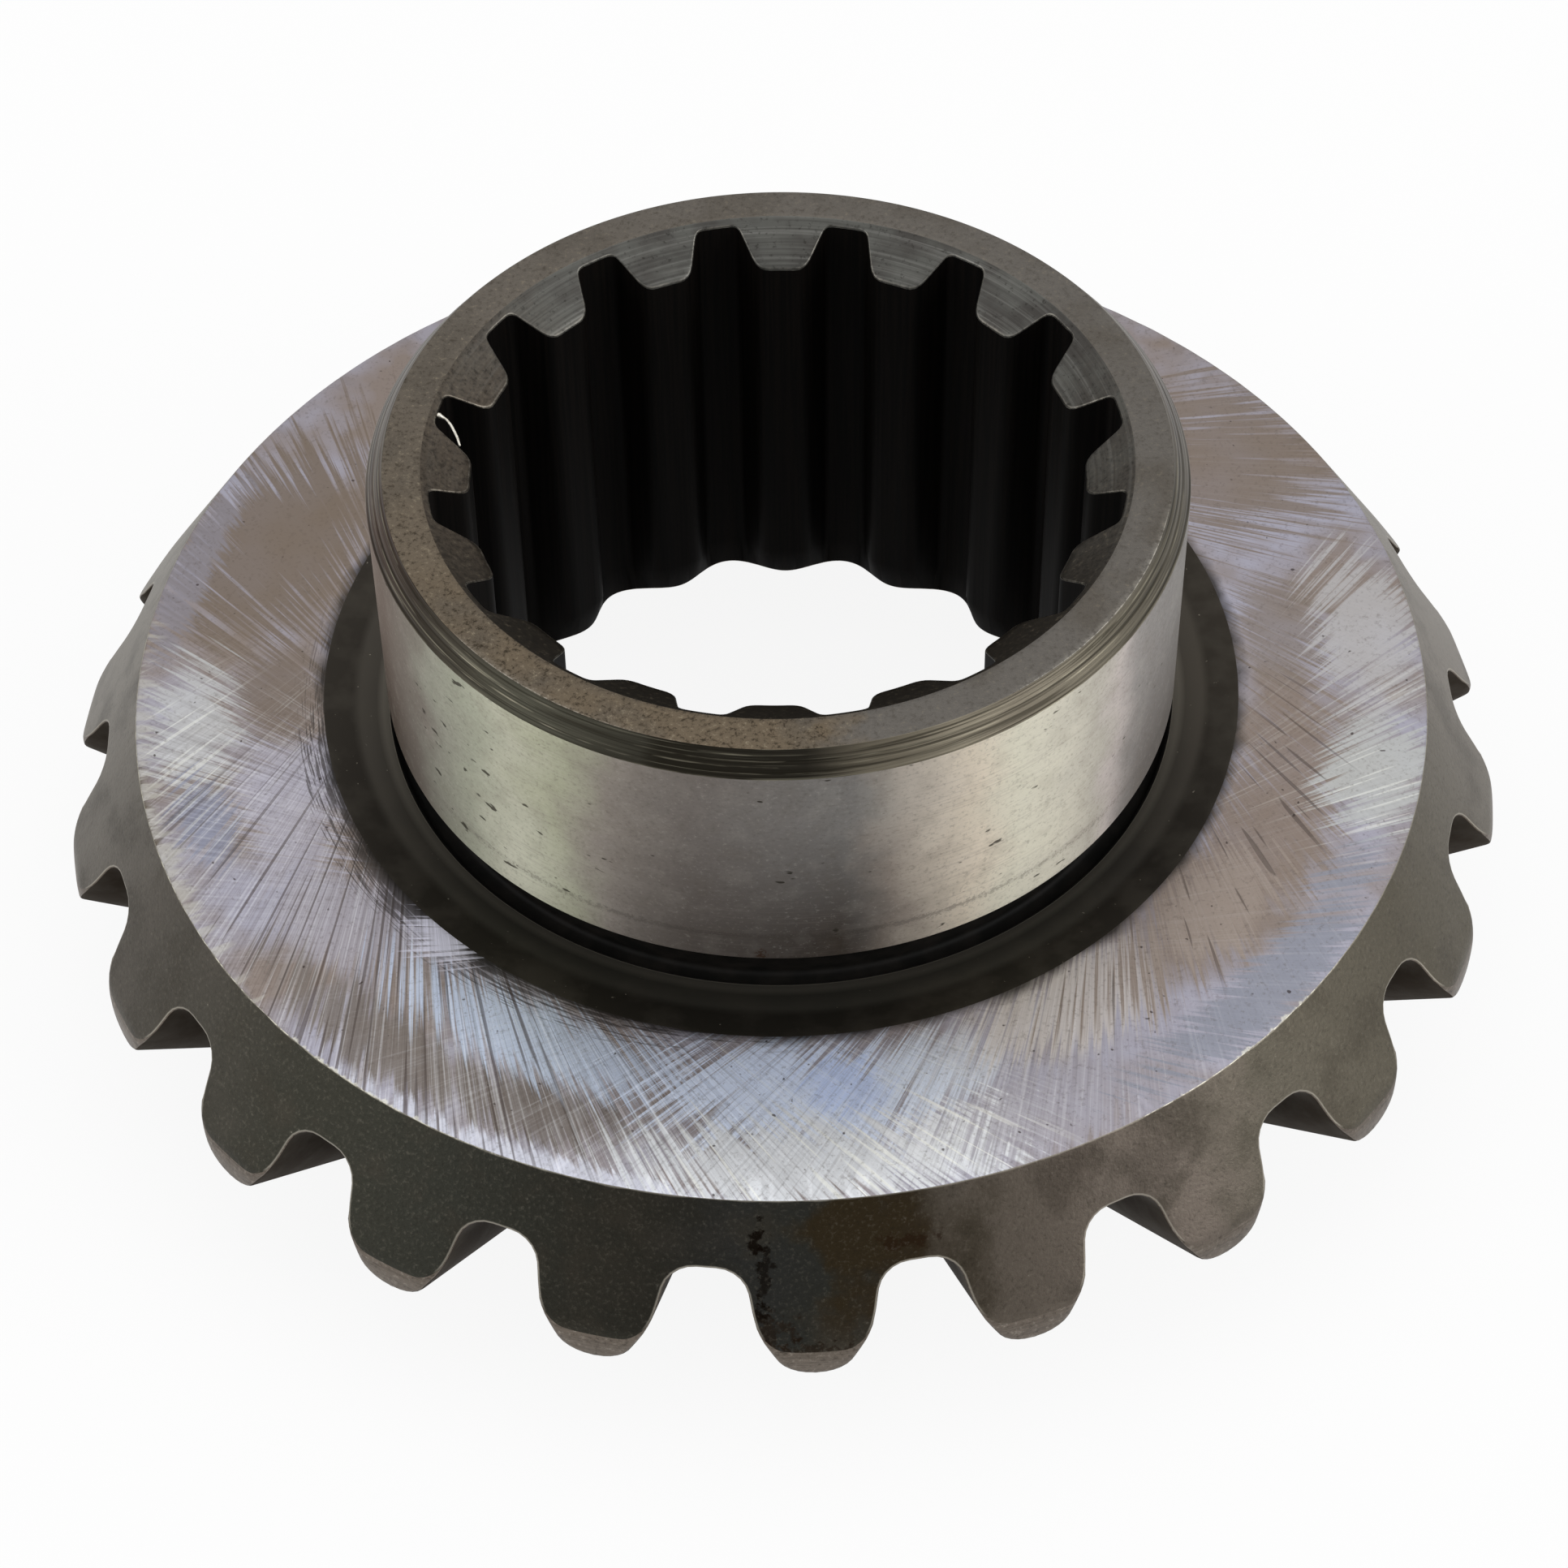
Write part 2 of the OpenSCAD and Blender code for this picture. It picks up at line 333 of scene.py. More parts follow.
class Cone:
    """The pitch cone, and the spur gear that its teeth's outer ends are when rolled out flat."""

    def __init__(self, s):
        angle = math.atan(s.teeth / s.pinion_teeth)
        self.sin, self.cos = math.sin(angle), math.cos(angle)
        self.length = s.pitch_r / self.sin
        pitch_z = THRUST_Z - (s.pitch_r - s.thrust_r) * math.tan(angle)
        self.apex = Vector((0, 0, pitch_z - self.length * self.cos))
        self.virtual_r = self.length * math.tan(angle)
        self.base_r = self.virtual_r * math.cos(s.pressure_angle)

    def ray(self, angle, over, side=0.0):
        """Direction from the apex to a point over the pitch cone at the outer end, moved
        sideways in the plane at that angle. Times the cone's length it ends on the back cone."""
        out = self.length * self.sin + over * self.cos
        up = self.length * self.cos - over * self.sin
        way = around(math.hypot(out, side), angle + math.atan2(side, out), up)
        return way / (math.hypot(out, side) * self.sin + up * self.cos)

    def at(self, ray, along):
        return self.apex + ray * along

    def back(self, angle, radius):
        """A point of the back cone by its radius."""
        return around(radius, angle, self.apex.z + (self.length - radius * self.sin) / self.cos)


def angle_of(point):
    return math.atan2(point.x, -point.y)


def radius_of(point):
    return math.hypot(point.x, point.y)


# Where a flank swells and where it falls away: middle over the pitch cone and reach each way, in
# millimetres
SWELL, RELIEF = (-1.2, 2.6), (1.3, 1.1)


def tooth_side(s, cone):
    """From a tooth's tip rounding to the middle of the space beside it: points in the space's
    plane and the direction out of the metal at each."""
    base_r, virtual_r = cone.base_r, cone.virtual_r
    half_pitch = math.pi / s.teeth * cone.cos
    tooth_t = math.pi * s.pitch_r / s.teeth - s.thinning

    def unwound(r):
        return math.sqrt(r * r - base_r * base_r)

    def roll(length):
        return length / base_r - math.atan(length / base_r)

    def half_tooth(length):
        return tooth_t / 2 / virtual_r + roll(unwound(virtual_r)) - roll(length)

    def spot(r, a, d=0.0, turn=0.0):
        return Vector((
            r * math.sin(a) + d * math.sin(a + turn),
            r * math.cos(a) + d * math.cos(a + turn) - virtual_r,
        ))

    tip_r, root_r = virtual_r + s.addendum, virtual_r - s.dedendum
    tip_centre_r = tip_r - s.tip_round
    tip_len = unwound(tip_centre_r)
    tip_a = half_tooth(tip_len) - s.tip_round / base_r - half_pitch
    root_centre_r = root_r + s.root_fillet
    root_len = unwound(root_centre_r)
    root_a = half_tooth(root_len) + s.root_fillet / base_r - half_pitch
    tip_turn, root_turn = math.atan2(base_r, tip_len), math.atan2(base_r, root_len)

    def flank(length):
        a = half_tooth(length) - half_pitch
        turn = a + math.atan2(base_r, length)
        return spot(math.hypot(length, base_r), a), Vector((math.sin(turn), math.cos(turn)))

    side = []
    for i in range(ROUND_STEPS + 1):
        turn = tip_turn * i / ROUND_STEPS
        out = Vector((math.sin(tip_a + turn), math.cos(tip_a + turn)))
        side.append((spot(tip_centre_r, tip_a, s.tip_round, turn), out))
    first, last = tip_len + s.tip_round, root_len - s.root_fillet
    # The flank has a point where the turned corner of the tooth ends, found by halving
    low, high = last, first
    for _ in range(40):
        middle = (low + high) / 2
        point, _out = flank(middle)
        over_land = radius_of(cone.ray(0, point.y, point.x)) * cone.length > s.turned_r
        low, high = (low, middle) if over_land else (middle, high)
    for i in range(FLANK_STEPS):
        side.append(flank(low + (last - low) * i / FLANK_STEPS))
    for i in range(FILLET_STEPS + 1):
        turn = root_turn - math.pi - root_turn * i / FILLET_STEPS
        out = Vector((-math.sin(root_a + turn), -math.cos(root_a + turn)))
        side.append((spot(root_centre_r, root_a, s.root_fillet, turn), out))

    def hump(value, middle, half):
        near = (value / MM - middle) / half
        return math.cos(near * math.pi / 2) ** 2 if abs(near) < 1 else 0.0

    # As forged: a little fuller halfway up, and falling away towards the tip
    shaped = []
    for point, out in side:
        fuller = s.flank_swell * hump(point.y, *SWELL) - s.tip_relief * hump(point.y, *RELIEF)
        shaped.append((point + Vector((fuller, 0)), out))
    return shaped


def tooth_rays(s, cone):
    """For each column round the gear, the ray along the tooth's surface and the ray that lies
    one edge's width inside the metal."""
    pitch = math.tau / s.teeth
    side = tooth_side(s, cone)
    tip_angle = pitch / 2 + angle_of(cone.ray(0, side[0][0].y, side[0][0].x))
    half = []
    for i in range(TIP_STEPS):
        angle = tip_angle * i / TIP_STEPS
        half.append((cone.ray(angle, s.addendum), cone.ray(angle, s.addendum - s.tooth_edge)))
    for point, out in side:
        inner = point - out * s.tooth_edge
        half.append((cone.ray(pitch / 2, point.y, point.x), cone.ray(pitch / 2, inner.y, inner.x)))
    middle = (cone.ray(pitch / 2, -s.dedendum), cone.ray(pitch / 2, -s.dedendum - s.tooth_edge))
    mirror = Matrix.Rotation(pitch, 3, "Z") @ Matrix.Diagonal((-1, 1, 1))
    one = half + [middle] + [(mirror @ a, mirror @ b) for a, b in reversed(half[1:])]
    return [
        tuple(Matrix.Rotation(pitch * i, 3, "Z") @ ray for ray in pair)
        for i in range(s.teeth) for pair in one
    ]


def spline_columns(s, count):
    """Radius and angle of the bore's wall for each column, from the middle of a spline tooth."""
    pitch = math.tau / s.spline_teeth
    mouth, root = s.spline_mouth_w / 2, s.spline_root_w / 2
    half = count // s.spline_teeth // 2
    tip = Vector((mouth, math.sqrt(s.spline_tip_r ** 2 - mouth ** 2)))
    foot = Vector((root, math.sqrt(s.spline_root_r ** 2 - root ** 2)))
    way = (foot - tip).normalized()
    tip_end = pitch / 2 - math.asin((mouth + s.spline_corner) / s.spline_tip_r)
    root_end = math.asin(max(root - s.spline_fillet, root * 0.2) / s.spline_root_r)
    steps = 4
    flat = (half - 2 * steps) // 2 - 1
    line = [(s.spline_tip_r, tip_end * i / flat) for i in range(flat)]

    def turned(corner, before, after):
        for i in range(steps + 1):
            point = bend(before, corner, after, i / steps)
            line.append((point.length, pitch / 2 - math.atan2(point.x, point.y)))

    def on_circle(radius, angle):
        return Vector((radius * math.sin(angle), radius * math.cos(angle)))

    turned(tip, on_circle(s.spline_tip_r, pitch / 2 - tip_end), tip + way * s.spline_corner)
    turned(foot, foot - way * s.spline_fillet, on_circle(s.spline_root_r, root_end))
    left = half - len(line) + 1
    for i in range(1, left + 1):
        line.append((s.spline_root_r, pitch / 2 - root_end * (1 - i / left)))
    one = line + [(r, pitch - a) for r, a in reversed(line[1:-1])]
    return [(r, a + pitch * i + s.spline_turn) for i in range(s.spline_teeth) for r, a in one]


def softened(corners, steps=2):
    """A section's points, from corners given as radius, height, finish of the stretch after it,
    and how far its round reaches from the corner."""
    most = 0.45  # of a stretch, for each round
    line = []
    for i, (r, z, finish, cut) in enumerate(corners):
        here = Vector((r, z))
        if not cut:
            line.append((here, finish, 0.0))
            continue
        before, after = (Vector(corners[j][:2]) - here for j in (i - 1, i + 1))
        start = here + before.normalized() * min(cut, before.length * most)
        end = here + after.normalized() * min(cut, after.length * most)
        for step in range(steps + 1):
            worn = 1.0 if 0 < step < steps else 0.5
            edge_finish = corners[i - 1][2] if step * 2 < steps else finish
            line.append((bend(start, here, end, step / steps), edge_finish, worn))
    return line


END_EDGE = 0.12 * MM  # round of the outer edge of the hub's end


def hub_section(s):
    """The turned and ground outside of the hub, from the countersink to the thrust face's rim."""
    end_r = JOURNAL_R - s.chamfer_r
    neck_r = JOURNAL_R - s.undercut
    band_r = JOURNAL_R + s.band_w
    z = THRUST_Z
    chamfer_z = HUB_END_Z - s.chamfer_h
    ridges = []
    ridge_high, ridge_points = 0.07 * MM, 4
    inward, downward = 0.79, 0.61  # square to the chamfer
    steps = s.chamfer_lines * ridge_points
    for i in range(1, steps):
        t = i / steps
        uneven = 0.6 + 0.4 * math.sin(3.1 * (i // ridge_points) + 1)
        dip = ridge_high * uneven * (0.5 - 0.5 * math.cos(t * math.tau * s.chamfer_lines))
        r, h = end_r + s.chamfer_r * t, HUB_END_Z - s.chamfer_h * t
        ridges.append((r - dip * inward, h - dip * downward, "turned", 0.0))
    return softened([
        (s.mouth_r, HUB_END_Z, "hub_end", 0.0),
        (s.mouth_r + 0.4 * MM, HUB_END_Z, "hub_end", 0.0),
        (end_r, HUB_END_Z, "turned", END_EDGE),
        *ridges,
        (JOURNAL_R, chamfer_z, "journal", 0.1 * MM),
        (JOURNAL_R, (chamfer_z + z) / 2, "journal", 0.0),
        (JOURNAL_R, z + s.undercut_top, "undercut", 0.15 * MM),
        (neck_r, z + s.undercut_top - 0.6 * MM, "undercut", 0.3 * MM),
        (neck_r, z - s.undercut_floor, "undercut", 0.4 * MM),
        (JOURNAL_R - 0.5 * MM, z - s.undercut_floor, "undercut", 0.3 * MM),
        (JOURNAL_R - 0.2 * MM, z - s.band_depth - 0.2 * MM, "undercut", 0.1 * MM),
        (JOURNAL_R, z - s.band_depth, "band", 0.1 * MM),
        (band_r, z - s.band_depth, "band", 0.3 * MM),
        (band_r + s.ramp_w, z, "thrust", 0.3 * MM),
        (band_r + s.ramp_w + 2 * MM, z, "thrust", 0.0),
    ])


BORE_EDGE = 0.1 * MM  # worn edge at both ends of the bore


def lifted(point, height):
    return Vector((point.x, point.y, height))


def mouth_rows(s, bore):
    """The bore's upper edge and the countersink at the hub's end."""
    walls = [around(r, a, 0) for r, a in bore]
    inner = []
    for i, wall in enumerate(walls):
        run = walls[(i + 1) % len(walls)] - walls[i - 1]
        inner.append(wall + Vector((run.y, -run.x, 0)).normalized() * BORE_EDGE)

    def mouth_z(point):
        return HUB_END_Z - (s.mouth_r - radius_of(point)) * math.tan(s.mouth_slope)

    rows = [
        Row([lifted(p, mouth_z(p) - BORE_EDGE) for p in walls], "mouth", 0.6),
        Row([lifted(p, mouth_z(p)) for p in inner], "mouth", 0.6),
    ]
    rim_r = s.mouth_r - 0.08 * MM
    for part in (0.15, 0.5, 1.0):
        row = []
        for point, (_r, angle) in zip(inner, bore):
            radius = radius_of(point) + (rim_r - radius_of(point)) * part
            turn = math.remainder(angle_of(point) - angle, math.tau) * (1 - part)
            row.append(around(radius, angle + turn, mouth_z(around(radius, 0, 0))))
        rows.append(Row(row, "mouth", 0.3 if part == 1 else 0.0))
    return rows


def hub_rows(s, bore, even, rim):
    """The hub and the thrust face. The columns turn from the spline's spacing to an even one on the
    hub's flat end, and from there to the teeth's spacing on the flat thrust face."""
    rows = []
    section = hub_section(s)
    end_r = JOURNAL_R - s.chamfer_r - END_EDGE
    for point, finish, worn in section:
        on_end = point.y > HUB_END_Z - 1e-7
        share = min(1.0, max(0.0, (point.x - s.mouth_r) / (end_r - s.mouth_r))) if on_end else 1.0
        row = [
            around(point.x, angle + (e - angle) * share, point.y)
            for (_r, angle), e in zip(bore, even)
        ]
        rows.append(Row(row, finish, worn))
    face_r = section[-1][0].x
    for part in (0.4, 0.8):
        radius = face_r + (s.thrust_r - face_r) * part
        row = [around(radius, e + (a - e) * part, THRUST_Z) for e, a in zip(even, rim)]
        rows.append(Row(row, "thrust"))
    return rows


def rim_rows(s, cone, rim):
    """The thrust face's rim, which is a little ragged."""
    edge, chip = 0.12 * MM, 1.5 * MM
    rough = [edge * (1 + 0.8 * noise.noise(around(s.thrust_r, a, 0) / chip)) for a in rim]
    flat = [around(s.thrust_r - w, a, THRUST_Z) for w, a in zip(rough, rim)]
    sharp = [around(s.thrust_r, a, THRUST_Z) for a in rim]
    below = [cone.back(a, s.thrust_r + w * 0.6) for w, a in zip(rough, rim)]
    middle = [bend(a, b, c, 0.5) for a, b, c in zip(flat, sharp, below)]
    return [Row(flat, "thrust", 0.6), Row(middle, "heel", 1.0), Row(below, "heel", 0.6)]


def reach_of(s, cone, ray):
    """How far the flank goes along a ray: to the back cone, or to the turned land, which meet in a
    soft corner."""
    turned = s.turned_r / radius_of(ray)
    near = max(0.0, 1 - abs(turned - cone.length) / s.land_blend)
    return min(cone.length, turned) - near ** 2 * s.land_blend / 4


# The rows round a tooth's outer end: the finish after each, and how worn it is where the tooth is
# whole and where its corner is turned away
END_ROWS = (
    ("heel", 1.0, 0.0), ("land", 1.0, 0.0), ("land", 1.0, 0.0), ("land", 1.0, 0.1),
    ("land", 0.8, 0.3), ("flank", 0.6, 0.7), ("flank", 0.3, 0.3), ("flank", 0.0, 0.0),
)


def tooth_end_rows(s, cone, rays, rim, below):
    """Outer ends of the teeth, their worn edges and the turned land at their corners, which is well
    rounded above and little below. The width of each column's edge comes with them."""
    edge = s.tooth_edge
    heel, heel_worn, widths = [], [], []
    ring = [[] for _ in END_ROWS]
    ring_worn = [[] for _ in END_ROWS]
    for (ray, inset), angle in zip(rays, rim):
        reach = reach_of(s, cone, ray)
        corner = cone.at(ray, reach)
        top = cone.back(angle_of(corner), radius_of(corner))
        land = top.z - corner.z if reach < cone.length * (1 - 1e-6) else 0
        width = edge + (s.land_edge - edge) * min(1.0, land / s.land_edge)
        cut = min(s.land_round, land * 0.45)
        start_r = min(radius_of(inset) * cone.length, radius_of(top) - cut * cone.cos)
        start = cone.back(angle, start_r)
        end = cone.at(ray, reach - width)
        if land:
            high = top - Vector((0, 0, cut))
            low = corner + Vector((0, 0, min(width, land * 0.4)))
            points = [bend(start, top, high, t) for t in (0.25, 0.5, 0.75, 1)] + [low]
            points += [bend(low, corner, end, t) for t in (0.33, 0.67, 1)]
        else:
            steps = (0.25, 0.4, 0.5, 0.5, 0.55, 0.7, 0.85, 1)
            points = [bend(start, corner, end, t) for t in steps]
        landed = min(1.0, land / MM)
        heel.append(start)
        heel_worn.append(0.6 * (1 - landed))
        widths.append(width)
        for row, worn, point, (_finish, on_edge, on_land) in zip(ring, ring_worn, points, END_ROWS):
            row.append(point)
            worn.append(on_edge + (on_land - on_edge) * landed)
    rows = [Row([a.lerp(b, part) for a, b in zip(below, heel)], "heel") for part in (0.3, 0.7)]
    rows.append(Row(heel, "heel", heel_worn))
    for row, worn, (finish, _on_edge, _on_land) in zip(ring, ring_worn, END_ROWS):
        rows.append(Row(row, finish, worn))
    return rows, widths


def flank_rows(s, cone, rays, widths):
    """The flanks, from the worn outer edge to the inner ends."""
    rows = []
    inner_along = cone.length - s.face_w
    toe_edge = s.tooth_edge * 0.6
    for part in (0.33, 0.67):
        row = []
        for (ray, _inset), width in zip(rays, widths):
            reach = reach_of(s, cone, ray) - width
            row.append(cone.at(ray, reach + (inner_along + toe_edge - reach) * part))
        rows.append(Row(row, "flank"))
    start = [cone.at(ray, inner_along + toe_edge) for ray, _inset in rays]
    corner = [cone.at(ray, inner_along) for ray, _inset in rays]
    share = min(1.0, toe_edge / s.tooth_edge * cone.length / inner_along)
    end = [cone.at(ray.lerp(inset, share), inner_along) for ray, inset in rays]
    middle = [bend(a, b, c, 0.5) for a, b, c in zip(start, corner, end)]
    return rows + [Row(start, "flank", 0.5), Row(middle, "toe", 1.0), Row(end, "toe", 0.5)]


def under_rows(s, cone, toe, even, bore):
    """The inner ends' cone up to the flat underside, the lower countersink and the bore's lower
    edge."""
    inner_along = cone.length - s.face_w
    under = THRUST_Z - s.under_depth
    up = (under - (cone.apex.z + inner_along * cone.cos)) / cone.sin
    top_r = inner_along * cone.sin - up * cone.cos
    toe_round, under_round = 0.3 * MM, 0.15 * MM
    toe_r, toe_z = top_r + toe_round * cone.cos, under - toe_round * cone.sin
    outer_r, inner_r = top_r - toe_round, s.under_mouth_r + under_round
    angles = [angle_of(p) for p in toe]
    rows = [
        Row([around(toe_r, angle, toe_z) for angle in angles], "toe"),
        Row([around(outer_r, angle, under) for angle in angles], "underside"),
    ]
    near = [a + math.tau * round((e - a) / math.tau) for a, e in zip(angles, even)]
    for part in (0.5, 1.0):
        row = [
            around(outer_r + (inner_r - outer_r) * part, a + (b - a) * part, under)
            for a, (_r, b) in zip(near, bore)
        ]
        rows.append(Row(row, "underside"))

    def under_z(point):
        return under + (s.under_mouth_r - radius_of(point)) * math.tan(s.under_slope)

    # The spline's lower ends are worn to soft waves, which end a little way up
    wave_high = 2.5 * MM
    middle_r = (s.spline_root_r + s.spline_tip_r) / 2
    wave = 0.42 * (s.spline_root_r - s.spline_tip_r)
    low = [
        around(middle_r - wave * math.cos(s.spline_teeth * (angle - s.spline_turn)), angle, 0)
        for _r, angle in bore
    ]
    first = s.under_mouth_r - under_round
    for part in (0.0, 0.85, 1.0):
        row = []
        for point, (_r, angle) in zip(low, bore):
            last = radius_of(point) + BORE_EDGE
            place = around(first + (last - first) * part, angle, 0)
            row.append(lifted(place, under_z(place)))
        rows.append(Row(row, "underside"))
    walls = [around(r, a, 0) for r, a in bore]
    rows.append(Row([lifted(p, under_z(p) + BORE_EDGE) for p in low], "bore"))
    rows.append(Row([lifted(p, under_z(p) + wave_high) for p in walls], "bore"))
    return rows


def gear_rows(s):
    """Every row of the gear, from the bore over the hub, the thrust face and the teeth back to
    the bore. Each row has one point to a column."""
    cone = Cone(s)
    rays = tooth_rays(s, cone)
    bore = spline_columns(s, len(rays))
    even = [math.tau * i / len(rays) for i in range(len(rays))]
    rim = []
    for (_ray, inset), spaced in zip(rays, even):
        angle = angle_of(inset)
        rim.append(angle + math.tau * round((spaced - angle) / math.tau))
    rows = mouth_rows(s, bore) + hub_rows(s, bore, even, rim) + rim_rows(s, cone, rim)
    ends, widths = tooth_end_rows(s, cone, rays, rim, rows[-1].points)
    rows += ends + flank_rows(s, cone, rays, widths)
    return rows + under_rows(s, cone, rows[-1].points, even, bore)


def skin(name, rows, finishes):
    """One closed surface over the rows, the last of which joins the first. Points that fall
    together are welded, and each strip takes its row's finish."""
    count = len(rows[0].points)
    order = list(finishes)
    shell = bmesh.new()
    worn_layer = shell.verts.layers.float.new("worn")
    verts = []
    for row in rows:
        for point, worn in zip(row.points, row.worn):
            vert = shell.verts.new(point)
            vert[worn_layer] = worn
            verts.append(vert)
    for i, row in enumerate(rows):
        j = (i + 1) % len(rows)
        for k in range(count):
            n = (k + 1) % count
            face = shell.faces.new(verts[a * count + b] for a, b in ((i, k), (j, k), (j, n), (i, n)))
            face.material_index = order.index(row.finish)
            face.smooth = True
    bmesh.ops.remove_doubles(shell, verts=shell.verts, dist=1e-7)
    bmesh.ops.dissolve_degenerate(shell, edges=shell.edges, dist=1e-7)
    bmesh.ops.recalc_face_normals(shell, faces=shell.faces)
    mesh = bpy.data.meshes.new(name)
    shell.to_mesh(mesh)
    shell.free()
    for finish in order:
        mesh.materials.append(finishes[finish])
    piece = bpy.data.objects.new(name, mesh)
    bpy.context.scene.collection.objects.link(piece)
    even_out = piece.modifiers.new("even normals", "WEIGHTED_NORMAL")
    even_out.weight = 80
    return piece


# The two ways of the grinding strokes: the radius in millimetres of the circle that they touch, and
# whether they turn with (1) or against (-1) the angle on their way out
LEFT_HAND, RIGHT_HAND = (28.0, 1), (25.0, -1)


def ground_face(colours):
    """Hardened steel, ground by hand-held strokes that cross. Its light streaks and its lilac, white
    and brown-grey patches are painted sheen: highlights and shade of the strokes, fixed to the gear."""
    steel = Finish("ground_thrust_steel", colours.taupe)
    # Bundles of strokes 0.45 mm wide and single ones of 0.13 mm. The finest real ones, a few
    # hundredths of a millimetre, would not show, so these stand for them.
    left = steel.strokes(LEFT_HAND, 0.45, 18, 3.1)
    right = steel.strokes(RIGHT_HAND, 0.45, 16, 7.7)
    fine_left = steel.strokes(LEFT_HAND, 0.13, 9, 1.4, 1.0)
    fine_right = steel.strokes(RIGHT_HAND, 0.13, 7, 8.3, 1.0)
    # How strongly each way of strokes shows round the gear: painted sheen, where the light picks out one
    # way here and the other there
    left_weight = steel.by_angle((
        (-102, 0.005), (-90, 0.162), (-76, 0.745), (-20, 1), (8, 0.352), (30, 0.051), (50, 0.162),
        (80, 0.117), (100, 0.014),
    ))
    right_weight = steel.by_angle((
        (-110, 0.014), (-94, 0.117), (-82, 0.745), (-52, 0.051), (-12, 0.527), (20, 0.631),
        (42, 0.162), (100, 0.08),
    ))
    torn_left = steel.strokes(LEFT_HAND, 0.26, 14, 4.4, 3.0)
    torn_right = steel.strokes(RIGHT_HAND, 0.26, 12, 6.9, 3.0)
    left_ragged = steel.spread(0.55, (torn_left, 0.3, 0.7), least=-0.55)
    right_ragged = steel.spread(0.55, (torn_right, 0.3, 0.7), least=-0.55)
    cloud = steel.grain((9, 9, 9), 2.2, 3.0)
    steel.lay(colours.lilac, 1.0, (cloud, 0.38, 0.62))
    # Patches in degrees and millimetres of radius: middle, half size, colour, share, strokes. All are
    # painted sheen, the bluish-white ones in front painted reflections of light from fresh strokes.
    for middle, half, shade, share, ragged in (
        ((-112, 42), (20, 9), "#7d7064", 0.9, right_ragged),
        ((-106, 47.8), (14, 1.9), "#918e97", 0.7, right_ragged),
        ((-90, 38.5), (10, 4), "#7f736a", 0.85, right_ragged),
        ((-86, 45), (9, 4), "#c5c6c7", 0.8, right_ragged),
        ((-72, 39.5), (11, 4), "#b4b1bd", 0.8, right_ragged),
        ((-74, 45.3), (6, 2.4), "#8f94a8", 0.75, left_ragged),
        ((-55, 40.5), (10, 4.5), "#aca8b1", 0.8, left_ragged),
        ((-40, 45.3), (17, 3.2), "#7f7771", 0.9, left_ragged),
        ((-25, 44.8), (10, 3.6), "#7a726d", 0.9, left_ragged),
        ((-28, 39.3), (19, 3.6), "#c8d4ea", 0.9, left_ragged),
        ((-20, 49.2), (22, 1.5), "#cfd1de", 0.95, left_ragged),
        ((0, 40.5), (17, 5.5), "#dbe6fb", 0.95, right_ragged),
        ((14, 39.5), (8, 4), "#d3dbe8", 0.7, right_ragged),
        ((4, 39.5), (4.5, 3), "#bfd0f6", 0.6, right_ragged),
        ((-1, 46.4), (16, 4.2), "#dde0e4", 0.95, left_ragged),
        ((13, 46), (8, 4), "#e3e6ea", 0.8, left_ragged),
        ((32, 38.5), (15, 4.5), "#c8c2bf", 0.85, right_ragged),
        ((60, 39.5), (30, 4.8), "#8c7e74", 0.85, right_ragged),
        ((51, 39.5), (10, 4), "#a2968d", 0.7, right_ragged),
        ((94, 39), (9, 4), "#867b72", 0.7, right_ragged),
        ((22, 46), (10, 4), "#a7a4ae", 0.8, right_ragged),
        ((48, 46.8), (18, 2.8), "#90939f", 0.9, left_ragged),
        ((75, 46), (8, 4.5), "#bfc1c0", 0.85, left_ragged),
        ((93, 45.5), (11, 4.5), "#bbb9ba", 0.8, left_ragged),
        ((120, 42), (14, 9), "#84776c", 0.85, right_ragged),
    ):
        steel.lay(shade, share, steel.patch(steel.map, middle, half, ragged, 0.35))
    # Dark and bright strokes of both ways, the bright ones painted glints
    for bundle, fine, weight in ((left, fine_left, left_weight), (right, fine_right, right_weight)):
        for pattern, dark_share, light_share in ((bundle, 0.16, 0.14), (fine, 0.34, 0.34)):
            steel.lay("#5c5350", dark_share, (pattern, 0.46, 0.30), weight)
            steel.lay(colours.bright, light_share, (pattern, 0.55, 0.74), weight)
    # Single bright strokes in front and on the right, fresh metal with a painted glint, and thin
    # scores, brown with old oil
    fresh = steel.strokes(LEFT_HAND, 0.22, 7, 9.9, 0.0)
    fresh_glint_zone = steel.by_angle((
        (-96, 0), (-88, 0.745), (-78, 0.527), (-64, 0), (-18, 0), (-8, 1), (14, 1), (24, 0),
        (62, 0), (68, 0.745), (84, 0.352), (92, 0),
    ))
    near_rim = steel.spread(0.6, (steel.radius, 40.5, 44), least=0.15)
    steel.lay("#f4f5ee", near_rim, (fresh, 0.66, 0.72), fresh_glint_zone)
    long_scores = steel.strokes(LEFT_HAND, 0.3, 16, 5.2, 0.0)
    score_zone = steel.by_angle(((-90, 0), (-80, 0.527), (-68, 1), (-26, 1), (-16, 0.014), (4, 0)))
    steel.lay("#4f4541", 0.65, (long_scores, 0.35, 0.31), score_zone)
    short_scores = steel.strokes(RIGHT_HAND, 0.35, 6, 2.9, 0.0)
    short_zone = steel.patch(steel.map, (58, 39.5), (44, 6))
    steel.lay("#4f4541", 0.6, (short_scores, 0.29, 0.26), short_zone)
    # Brown streaks across the outer edge, in a cream tint
    streaks = steel.across(steel.map, (0.8, 9), 2.4)
    torn_edge = steel.spread(0.6, (streaks, 0.3, 0.7), least=-0.6)
    edge = steel.patch(steel.map, (-76, 49.6), (20, 1.7), torn_edge)
    steel.lay("#c6c4ba", 0.5, edge)
    steel.lay("#4a3a20", edge, (streaks, 0.44, 0.37))
